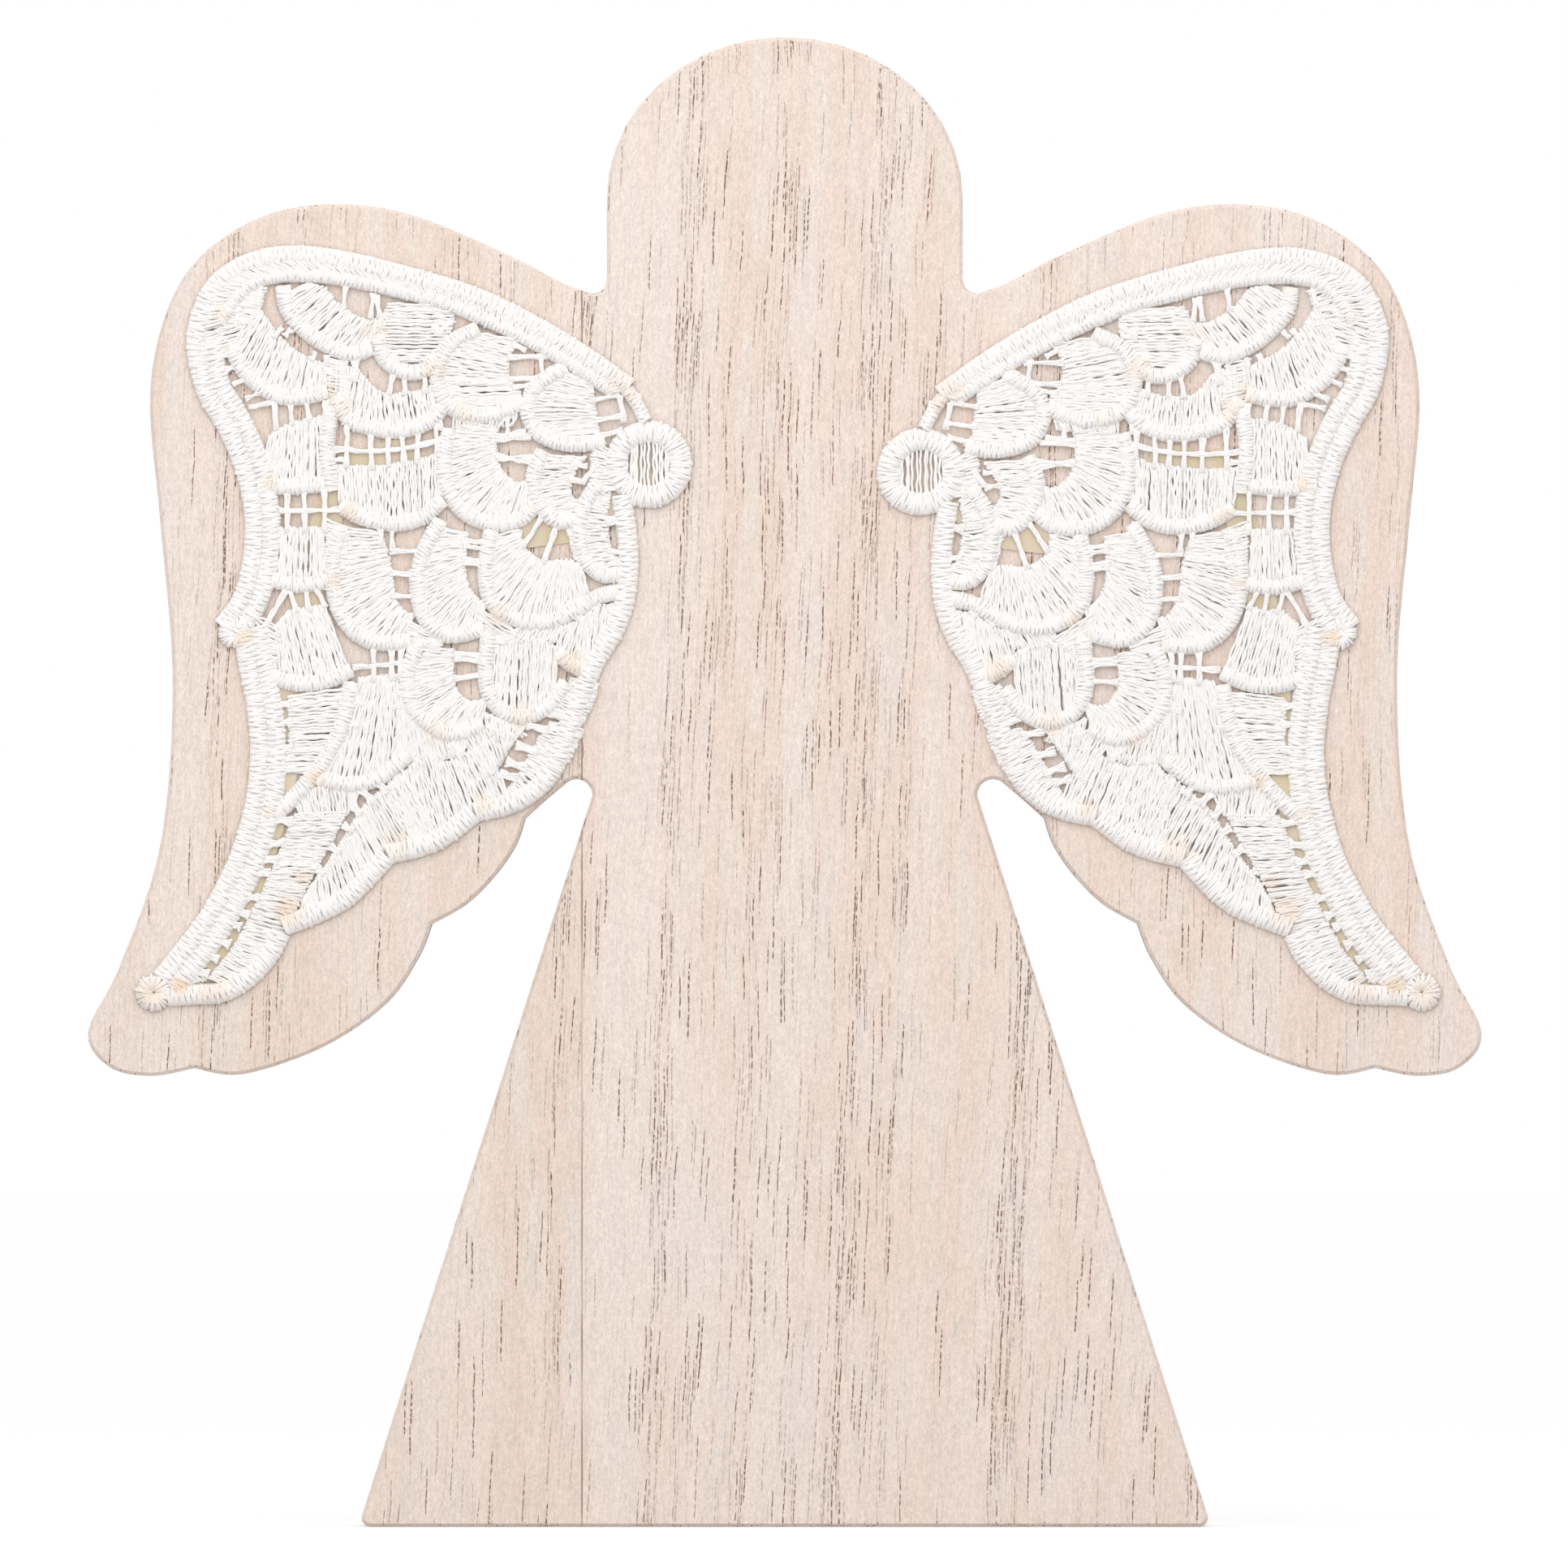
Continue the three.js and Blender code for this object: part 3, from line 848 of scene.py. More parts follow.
CELL_CORDS = (
    [(51.8, 12.2), (50.1, 15.3), (48.4, 17), (45.7, 18.5), (42.7, 18.6), (39.7, 17.9)],
    [(45.2, 4.9), (44.7, 7.7), (42.7, 10.2), (39.7, 12.3), (36.7, 13.3), (34.2, 12.5)],
    [(33.6, 10.9), (32.7, 13.9), (30.2, 15.5), (27.7, 15.3), (25.9, 13.5)],
    [(21, 10.2), (24.6, 12.1), (26.1, 15.7), (25, 19.4), (21.7, 20.9), (18.2, 20.5), (15.4, 18.9)],
    [(10.2, 14.9), (13.8, 17.2), (15, 20.2), (13.4, 23.2), (9.7, 24.4), (5.4, 24)],
    [(39, 18.5), (37.2, 21.2), (34, 22.5), (30.2, 22.7), (27, 21.5), (25.2, 19.5)],
    [(38.2, 31.9), (35.7, 33.4), (32, 34.2), (28.2, 33.5), (25.4, 31.2)],
    [(48.4, 29.4), (44.4, 29.7), (40, 29.3)],
    [(39.2, 19.7), (39.8, 24.7), (39.2, 30.2)],
    [(24.6, 22.5), (25.3, 26.2), (24.9, 29.7), (22.9, 32.7), (19.4, 34.2), (15.9, 33.7), (14, 31.9)],
    [(13, 25.2), (14.2, 28.2), (13.6, 31.5), (11.4, 33.9), (8.8, 33.7)],
    [(6, 28.9), (7.8, 31.7), (8.6, 35.2), (7.8, 38.7), (5.7, 40.5), (2.9, 40.3)],
    [(46.7, 41), (43.4, 41.8), (39.2, 41.2)],
    [(38, 34.5), (39, 38.7), (38.8, 43.2), (37.2, 46.7), (34, 48.8), (29.4, 48.7)],
    [(25.7, 33.7), (28, 38.2), (28.6, 42.2), (27.6, 46), (24.7, 48), (20.4, 47.1)],
    [(19.4, 34.9), (20.2, 39.7), (19.4, 43.9), (16.2, 46.1), (12.2, 46.2), (9, 44.8), (6.2, 43.2),
     (3.6, 42.6)],
    [(46.9, 52.9), (43.7, 53.9), (40.2, 53.7), (36.7, 52.2)],
    [(36.8, 53.7), (37.8, 58.7), (39.7, 62.7), (42.7, 66.7), (46.2, 70.2)],
    [(41, 65.5), (37.2, 66.3), (33.7, 65.7), (29.7, 62.7)],
    [(28.4, 48.7), (29.8, 52.7), (29.4, 56.5), (27.2, 59), (24.2, 60.2), (20.4, 58.9)],
    [(19.6, 47.2), (20.2, 52.7), (19, 56.5), (15.7, 58.1), (12.2, 56.5), (10.2, 53.7)],
    [(11.4, 50), (9, 51.9), (6.4, 52.3)],
)
RING_CENTRE = (0, 26.9)
TIP_CENTRE = (61.2, 92)
KNOB_CENTRE = (51.2, 47.6)
# The threads of each cell, feather and valley are stretched between two rails
CELLS: dict[str, tuple[Line, Line]] = {
    "shoulder bend": ([(51.9, 9.5), (51.2, 6.9), (49, 4.9)], [(48.6, 9.9), (48.1, 7.2), (47.4, 5.3)]),
    "first cell": (
        [(51.6, 12.5), (49.9, 15.3), (48.2, 16.9), (45.6, 18.1), (42.6, 18.3), (39.4, 17.5)],
        [(48.4, 7.5), (47.2, 9.3), (45.7, 11.3), (43.8, 13), (41.2, 14.3), (39.4, 14.9)],
    ),
    "second cell": (
        [(44.9, 5.9), (44.4, 7.9), (42.5, 10.1), (39.6, 12.1), (36.4, 12.9), (34, 11.9)],
        [(42.4, 4.7), (40.2, 5.3), (38.8, 7), (36.4, 8.7), (34, 9.3), (32, 8.5)],
    ),
    "third cell": (
        [(32, 7.1), (32.8, 8.9), (33.2, 10.9), (32.4, 14.3)],
        [(25.4, 7.3), (24.2, 9.1), (25, 11.1), (26.2, 14.3)],
    ),
    "fourth cell": (
        [(21, 10.7), (24, 12.5), (25.3, 15.7), (24.4, 18.9), (21.7, 20.2)],
        [(16.2, 11.5), (17.4, 13.7), (17.4, 16.2), (16, 18.3), (17.6, 20.1)],
    ),
    "fifth cell": (
        [(10.4, 15.5), (13.2, 17.5), (14.3, 20.2), (13, 22.9), (9.8, 23.9)],
        [(7.2, 16.5), (7, 18.7), (6.6, 20.9), (6.4, 22.7), (5.4, 23.7)],
    ),
    "sixth cell": (
        [(38.6, 18.3), (37, 20.7), (34, 22), (30.2, 22.2), (27.1, 21), (25.4, 19.1)],
        [(38.6, 14.9), (36.2, 15.3), (33.4, 18.1), (30.4, 18.3), (28.2, 17.9), (25.6, 16.7)],
    ),
    "side cell": (
        [(47, 23.7), (45.2, 22.5), (43, 21.7), (40, 21.1)],
        [(48, 29.1), (44.4, 29.4), (39.8, 29)],
    ),
    "seventh cell": (
        [(38.8, 27.1), (35.2, 27.3), (31.2, 27), (27.2, 26.2), (25.4, 24.9)],
        [(38.2, 31.5), (35.6, 33), (32, 33.8), (28.2, 33.1), (25.5, 30.8)],
    ),
    "eighth cell": (
        [(22.4, 21.7), (24.6, 23.9), (24.9, 27.2), (24.2, 30.2), (21.9, 32.9), (18.8, 33.8), (15.7, 33.2),
         (14.2, 31.4)],
        [(18.8, 22.3), (19.1, 24.2), (18.9, 26.3), (18.3, 27.8), (17.2, 28.9), (16, 29.4), (15, 29.1),
         (14.2, 28.3)],
    ),
    "ninth cell": (
        [(12.2, 25.7), (13.7, 28.2), (13.3, 31.3), (11.2, 33.4)],
        [(7.8, 25.9), (9.4, 28.1), (9.8, 30.5), (7.8, 32.3)],
    ),
    "inner cell": (
        [(5.8, 29.4), (7.5, 31.9), (8.3, 35.2), (7.5, 38.5), (5.6, 40.1)],
        [(4.8, 30.1), (5.3, 32.7), (5.2, 35.2), (4.8, 37.5), (3.2, 39.5)],
    ),
    "side cell two": ([(45.6, 34.9), (40.2, 34.9)], [(46.2, 40.6), (40, 40.9)]),
    "tenth cell": (
        [(36.8, 34.8), (38.4, 37.7), (38.6, 40.7), (38.3, 43.2), (36.8, 46.2), (33.9, 48.2), (30, 48.2)],
        [(33.2, 35.3), (32.5, 37.7), (32, 39.7), (31.8, 41.7), (31.4, 43.7), (30.4, 45.1), (29, 45.7)],
    ),
    "eleventh cell": (
        [(25.2, 34.7), (27.4, 38.5), (28.1, 42), (27.1, 45.5), (24.5, 47.5), (20.6, 46.7)],
        [(22.6, 35.2), (22.9, 38.7), (22.7, 41.1), (22, 42.8), (21, 43.8), (20, 44.1)],
    ),
    "twelfth cell": (
        [(19, 35.7), (19.7, 40), (18.9, 43.7), (16, 45.6), (12.2, 45.8), (9.1, 44.1), (7.4, 42.5)],
        [(16, 34.9), (15.7, 37.1), (14.2, 38.5), (12.8, 39.1), (11, 38.9), (9.8, 38.9), (8.4, 39.5)],
    ),
}
FEATHERS: dict[str, tuple[Line, Line]] = {
    "inner feather": (
        [(10.6, 46.9), (8.6, 46.1), (6.2, 44.7), (3.4, 44.1)],
        [(11.4, 49.4), (9.4, 51.2), (7.2, 51.4), (4.8, 48.9)],
    ),
    "side cell three": (
        [(46.2, 46.9), (44, 44.9), (42, 44.9), (40, 44.2)],
        [(45.6, 52.3), (42.8, 53.5), (40, 53.3), (37.2, 51.5)],
    ),
    "long cell": ([(35.8, 53.5), (33.6, 53.2), (31, 53)], [(39.9, 64.9), (36.2, 65.8), (31.4, 64.1)]),
    "thirteenth cell": (
        [(27, 49.5), (29.2, 52.7), (28.9, 56.2), (26.9, 58.6), (24.1, 59.6), (20.6, 58.5)],
        [(24.2, 49.7), (24.4, 52.2), (24.1, 54.3), (23.1, 55.8), (21.6, 56.3), (20, 55.7)],
    ),
    "fourteenth cell": (
        [(19, 48.9), (16.8, 48.1), (13.8, 48.5), (11.2, 49.7)],
        [(19.4, 55.5), (17.4, 57.2), (14.7, 57.4), (11.6, 55.3)],
    ),
    "side cell four": (
        [(44.3, 55.5), (44.3, 58.7), (44.3, 61.5), (45.4, 64.9)],
        [(37.4, 54.5), (37.8, 57.9), (39, 61.5), (41.2, 64.9)],
    ),
    "tip feather": (
        [(43.5, 70), (44.7, 72.7), (45.7, 75.3), (47, 78.3), (48.6, 81.4), (50.3, 84.9), (52.3, 87.9),
         (54.3, 90.3)],
        [(37.4, 69.7), (39, 72.7), (40.4, 75.2), (41.8, 77.7), (43.4, 80.9), (45.2, 84.7), (48, 88.3),
         (51.8, 91.5)],
    ),
    "tip feather root": (
        [(44, 68.2), (41.7, 66.9), (38.2, 66.7), (35.7, 66.9)],
        [(43, 70.3), (40, 70.7), (37.8, 70.1), (36.2, 68.9)],
    ),
    "second feather": (
        [(30.2, 64.7), (32.4, 66.7), (34.7, 68.7), (36.2, 70.7), (37.6, 73.1), (39.6, 76.1), (41.4, 78.5),
         (42.8, 80.7)],
        [(25.4, 72.7), (28, 73.7), (30.8, 74.7), (32.8, 76.3), (35.2, 78.3), (37.8, 80.3), (40.8, 82.1),
         (43.6, 83.3)],
    ),
    "third feather": (
        [(20.2, 60.9), (22.7, 62.7), (25.2, 63.7), (27.7, 62.5), (29.6, 64.5), (31, 65.9)],
        [(16.6, 68.7), (19.6, 69.5), (21.8, 70.3), (23.8, 71.9), (26.4, 73.3), (29.4, 74.3)],
    ),
    "fourth feather": (
        [(11.9, 58.7), (13.4, 60.7), (14.8, 63.1), (16.4, 65.9), (18.4, 68.5)],
        [(8.2, 59.5), (9.9, 63.1), (12, 65.5), (14.8, 67.9), (17.8, 69.3)],
    ),
    "feather root": (
        [(23.2, 60.5), (20.2, 59.5), (17.2, 59.1), (14.8, 58.7)],
        [(20.2, 65.5), (18.8, 64.3), (17.5, 62.1), (16, 60.1)],
    ),
    "inner root": ([(9.4, 53.3), (11, 56.1), (12.8, 57.7)], [(6.4, 53.9), (7.2, 56.5), (8.6, 59.3)]),
    "shoulder end": ([(55.5, 9.6), (55.6, 12), (55, 14.4)], [(50.6, 7.6), (50, 10.2), (50.4, 12.9)]),
    "tip valley": ([(56.9, 88.4), (58.6, 90.6)], [(54.7, 90.3), (57.5, 91)]),
    "first valley": ([(40, 13.7), (39.4, 19.7)], [(37.4, 14.2), (37, 20.2)]),
    "second valley": ([(24.2, 20.5), (16.2, 20.9)], [(24.2, 22.7), (16.7, 21.9)]),
    "ring valley": ([(6.7, 24.2), (7.2, 29.7)], [(3.8, 25.7), (3.6, 29.7)]),
    "outer valley": ([(39.7, 33.7), (39.7, 39.7)], [(37, 34.7), (37.8, 39.7)]),
    "inner valley": ([(10.2, 33.7), (9, 38.7)], [(8.2, 34.7), (8, 39.7)]),
    "fan valley": ([(29.7, 46.2), (30.2, 49.7)], [(25.4, 48.2), (26.2, 49.9)]),
    "middle valley": ([(21, 44.7), (20.6, 49.2)], [(16.2, 47.7), (18.7, 49.7)]),
    "cup valley": ([(16.2, 46.9), (10.2, 46.2)], [(17.7, 48.7), (11.2, 48.7)]),
    "knob valley": ([(48.4, 45.7), (48, 52.7)], [(45.7, 47.2), (46.2, 52.7)]),
    "feather valley": (
        [(31.2, 53.7), (29.2, 58.2), (25.7, 60.2), (22.2, 60.2)],
        [(31.2, 63.2), (28.7, 63.2), (25.7, 63.2), (22.7, 62.2)],
    ),
    "last valley": ([(20.2, 57.7), (16.2, 59.2)], [(20.2, 61.2), (15.2, 60.2)]),
}
BARS = (
    [(47.9, 4.7), (48.3, 7.5)], [(45.3, 10.1), (46.4, 11.3)], [(45, 11.1), (44.2, 10.3)],
    [(41.7, 14.1), (41.2, 13.1)], [(40, 14.7), (39.8, 13.5)], [(37.4, 4.7), (37.8, 7.7)],
    [(34, 5.9), (34.4, 8.9)], [(33.6, 6.1), (33.2, 8.9)], [(53.2, 13.9), (51.8, 13.3)],
    [(52.4, 15.3), (50.8, 14.7)], [(51.4, 17.1), (49.8, 16.3)], [(49.8, 18.9), (48, 17.9)],
    [(49.4, 19.9), (46.6, 19.3)], [(46.4, 19.1), (46, 22.7)], [(44.4, 19.1), (44, 22.1)],
    [(42.3, 19.1), (42, 21.7)], [(40, 19.1), (39.8, 21.7)], [(36.5, 13.7), (36.2, 16.7)],
    [(35.9, 13.7), (36.6, 16.7)], [(31.6, 15.5), (32.2, 18.3)], [(30.2, 15.7), (30.2, 18.3)],
    [(27.8, 15.5), (27.6, 18.1)], [(39, 25.1), (35, 25.3), (30.2, 25), (25.6, 23.9)],
    [(37.2, 21.7), (37.4, 27.3)], [(34.4, 22.7), (34.3, 27.5)], [(32.2, 22.9), (32.2, 27.3)],
    [(30.5, 22.9), (30.2, 27.1)], [(28.6, 22.5), (28.6, 26.9)], [(26.4, 21.5), (26.2, 25.7)],
    [(25.6, 20.2), (25.8, 22.7)], [(39.6, 26.5), (37.8, 26.3)], [(26.6, 9.7), (25.4, 10.9)],
    [(24.4, 9.3), (26.4, 10.9)], [(17.4, 13.7), (12.6, 13.7)], [(17.2, 16.5), (12.2, 16.1)],
    [(13.4, 13.3), (13, 16.7)], [(16.8, 12.1), (15.2, 12.9)], [(16.8, 17.5), (14.2, 17.1)],
    [(7, 19.1), (3.6, 18.3)], [(6.8, 21.5), (2.8, 20.9)], [(6.6, 23.5), (3.2, 22.7)],
    [(3.6, 18.5), (3, 21.7)], [(1.4, 18.3), (0.6, 21.9)], [(19, 23.5), (15.2, 22.9)],
    [(19, 23.9), (14.6, 23.5)], [(18.9, 26.3), (13.8, 25.9)], [(18.8, 25.9), (14.2, 26.7)],
    [(17.6, 20.3), (17.4, 23.5)], [(9.8, 28.7), (7.8, 29.1)], [(7.6, 27.1), (9.6, 27.1)],
    [(8, 28.9), (6.4, 26.9)], [(5.6, 29.9), (2.6, 29.7)], [(5.4, 33.7), (2, 33.7)],
    [(5.2, 34.3), (2, 33.1)], [(5, 37.5), (1.8, 37.9)], [(3.8, 39.3), (1.8, 38.9)],
    [(45.7, 32.6), (42.2, 32.6), (37.8, 32.5)], [(44.7, 29.9), (44.7, 35.3)],
    [(42.6, 29.9), (42.5, 35.3)], [(40.1, 29.7), (40, 35.3)], [(32, 37.5), (28.2, 37.7)],
    [(32, 40.3), (28.4, 40.5)], [(31.8, 43.1), (28.4, 43.2)], [(33.2, 34.7), (33, 36.9)],
    [(31.8, 34.5), (31.7, 37.3)], [(23, 36.4), (19.8, 36.5)], [(23, 37), (20, 37.3)],
    [(23.1, 38.5), (20, 38.9)], [(22.9, 39.1), (20, 39.3)], [(15.6, 37.1), (13, 33.2)],
    [(13, 39.1), (11.2, 33.9)], [(6, 44.1), (6.8, 44.9)], [(8, 44.9), (9, 46.1)],
    [(4.6, 44.7), (4.6, 46.1)], [(44.4, 42.1), (43.6, 45.1)], [(42.6, 41.9), (41.8, 45.1)],
    [(41.2, 41.9), (40, 44.5)], [(47.4, 46.9), (44.6, 42.1)], [(34, 49.7), (34, 53.7)],
    [(31.8, 49.7), (31.7, 53.5)], [(30.6, 49.5), (30.8, 53.3)],
    [(36.6, 51.9), (33.6, 51.7), (29.4, 51.3)], [(37.6, 56.3), (35.4, 56.5)],
    [(37.8, 58.9), (35.8, 59.1)], [(30.6, 56.7), (31.8, 56.9)], [(24, 50.3), (20.8, 50.5)],
    [(24, 50.9), (20.8, 51.1)], [(24.1, 53.3), (20.6, 52.9)],
)
TIES = (
    [(46.2, 56.5), (44, 56.5)], [(46.2, 58.7), (44, 58.7)], [(45.8, 61.9), (44, 61.7)],
    [(46.4, 70.7), (44, 70.9)], [(47, 73.7), (45, 73.5)], [(47.6, 75.5), (45.8, 75.7)],
    [(48.4, 77.1), (46.8, 77.3)], [(49.6, 80.1), (48.2, 80.3)], [(50.8, 81.9), (49.4, 82.5)],
    [(51.8, 83.3), (50.4, 83.9)], [(53.2, 85.5), (51.8, 86.1)], [(54.6, 87.3), (53.2, 87.9)],
    [(55.8, 89.3), (54.4, 89.7)], [(35.6, 66.9), (34, 68.5)], [(33.4, 66.1), (32.2, 67.3)],
    [(36.6, 68.9), (35.6, 70.1)], [(37.8, 71.3), (36.6, 72.1)], [(39.4, 73.9), (38.2, 74.7)],
    [(41, 76.7), (40, 77.3)], [(15, 59), (12.4, 59.6)], [(16.4, 61.6), (13.6, 62.2)],
    [(17.6, 63.5), (15, 64.3)], [(18.4, 65), (16.2, 65.5)], [(19.8, 58.9), (19, 60.1)],
    [(24.6, 61.3), (23, 62.9)],
)
# Each tie-in has its column, its row, its reach in columns and how strong its tint is
TIE_INS = (
    (33.7, 10.5, 2.2, 0.35), (26.4, 15.2, 2.2, 0.4), (22.7, 20.7, 2, 0.3), (52.9, 8.4, 1.6, 0.35),
    (46.7, 29.2, 1.2, 0.7), (37.2, 33.2, 2, 0.55), (39, 41.3, 1.4, 0.45), (50.2, 48.2, 1.4, 0.85),
    (18.6, 45.3, 2, 0.35), (9.7, 51.7, 2.2, 0.6), (15.7, 58.2, 2.2, 0.45), (26.2, 59.9, 2.4, 0.35),
    (41.2, 65.7, 1.4, 0.85), (47, 69.7, 1.2, 0.35), (20.4, 68.7, 1.4, 0.65), (31.2, 73.7, 2.4, 0.5),
    (44.4, 81.9, 2.4, 0.8), (42.7, 78.1, 1.6, 0.45), (54, 91.5, 2.4, 0.5), (58, 91.1, 1.6, 1),
    (61.8, 92.3, 2.6, 0.65), (3.4, 16.9, 2.4, 0.4), (37.7, 19.9, 1.8, 0.4), (39.7, 18.2, 1.8, 0.45),
    (2.4, 18.7, 1.2, 0.65),
)
# Places across a satin stitch, across its ground and across the ring, as shares of half the width
STITCH_SHARES = (-1.0, -0.85, -0.5, 0.0, 0.5, 0.85, 1.0)
GROUND_SHARES = (-1.0, -0.8, -0.4, 0.0, 0.4, 0.8, 1.0)
RING_THREADS = (
    -0.75, -0.67, -0.6, -0.52, -0.45, -0.37, -0.26, -0.15, 0, 0.14, 0.2, 0.32, 0.4, 0.48, 0.55, 0.63, 0.71,
)


class Threads:
    """Gathers strands of thread into one mesh of closed tubes."""

    sides = 5
    flatten = 0.55
    end_size = 1.12
    end_reach = 0.6

    def __init__(self) -> None:
        """Starts with no strands."""
        self.points: list[Vector] = []
        self.faces: list[tuple[int, ...]] = []
        self.runs: list[tuple[float, float, float]] = []

    def strand(self, path: list[Vector], radius: float, tints: list[float]) -> None:
        """Adds one strand as a tube with rounded ends.

        Args:
            path: Points along the strand in metres.
            radius: Radius of the thread in metres.
            tints: How much of the tie-in colour shows at each point, from 0 to 1.
        """
        front = Vector((0, -1, 0))
        first = len(self.points)
        last = len(path) - 1
        run = 0.0
        for i, point in enumerate(path):
            along = (path[min(i + 1, last)] - path[max(i - 1, 0)]).normalized()
            across = along.cross(front).normalized()
            rise = across.cross(along) * self.flatten
            if i:
                run += (point - path[i - 1]).length / MM
            size = radius * (self.end_size if i in (0, last) else 1.0)
            for k in range(self.sides):
                turn = 2 * math.pi * k / self.sides - math.pi / 2
                self.points.append(point + across * (size * math.cos(turn)) + rise * (size * math.sin(turn)))
                self.runs.append((run, k / self.sides, tints[i]))
        for i in range(last):
            here, there = first + i * self.sides, first + (i + 1) * self.sides
            for k in range(self.sides):
                other = (k + 1) % self.sides
                self.faces.append((here + k, here + other, there + other, there + k))
        rings = range(first, len(self.points))
        start = path[0] - (path[1] - path[0]).normalized() * (radius * self.end_reach)
        end = path[last] + (path[last] - path[last - 1]).normalized() * (radius * self.end_reach)
        self._cap(start, rings[self.sides - 1::-1], 0.0, tints[0])
        self._cap(end, rings[-self.sides:], run, tints[last])

    def _cap(self, tip: Vector, ring: range, run: float, tint: float) -> None:
        """Closes one end of a strand.

        Args:
            tip: The end's outermost point.
            ring: The end's ring of points, in the turn that makes the faces look outwards.
            run: Length along the strand.
            tint: The strand's tint.
        """
        top = len(self.points)
        self.points.append(tip)
        self.runs.append((run, 0.5, tint))
        for k in range(self.sides):
            self.faces.append((ring[k], ring[(k + 1) % self.sides], top))

    def piece(self, name: str, material: bpy.types.Material) -> bpy.types.Object:
        """Makes the mesh object.

        Args:
            name: Name of the piece.
            material: Its finish.

        Returns:
            The new object.
        """
        made = new_object(name, self.points, self.faces, material)
        run = made.data.attributes.new("thread", "FLOAT_VECTOR", "POINT")
        run.data.foreach_set("vector", [value for triple in self.runs for value in triple])
        made.data.polygons.foreach_set("use_smooth", [True] * len(self.faces))
        return made


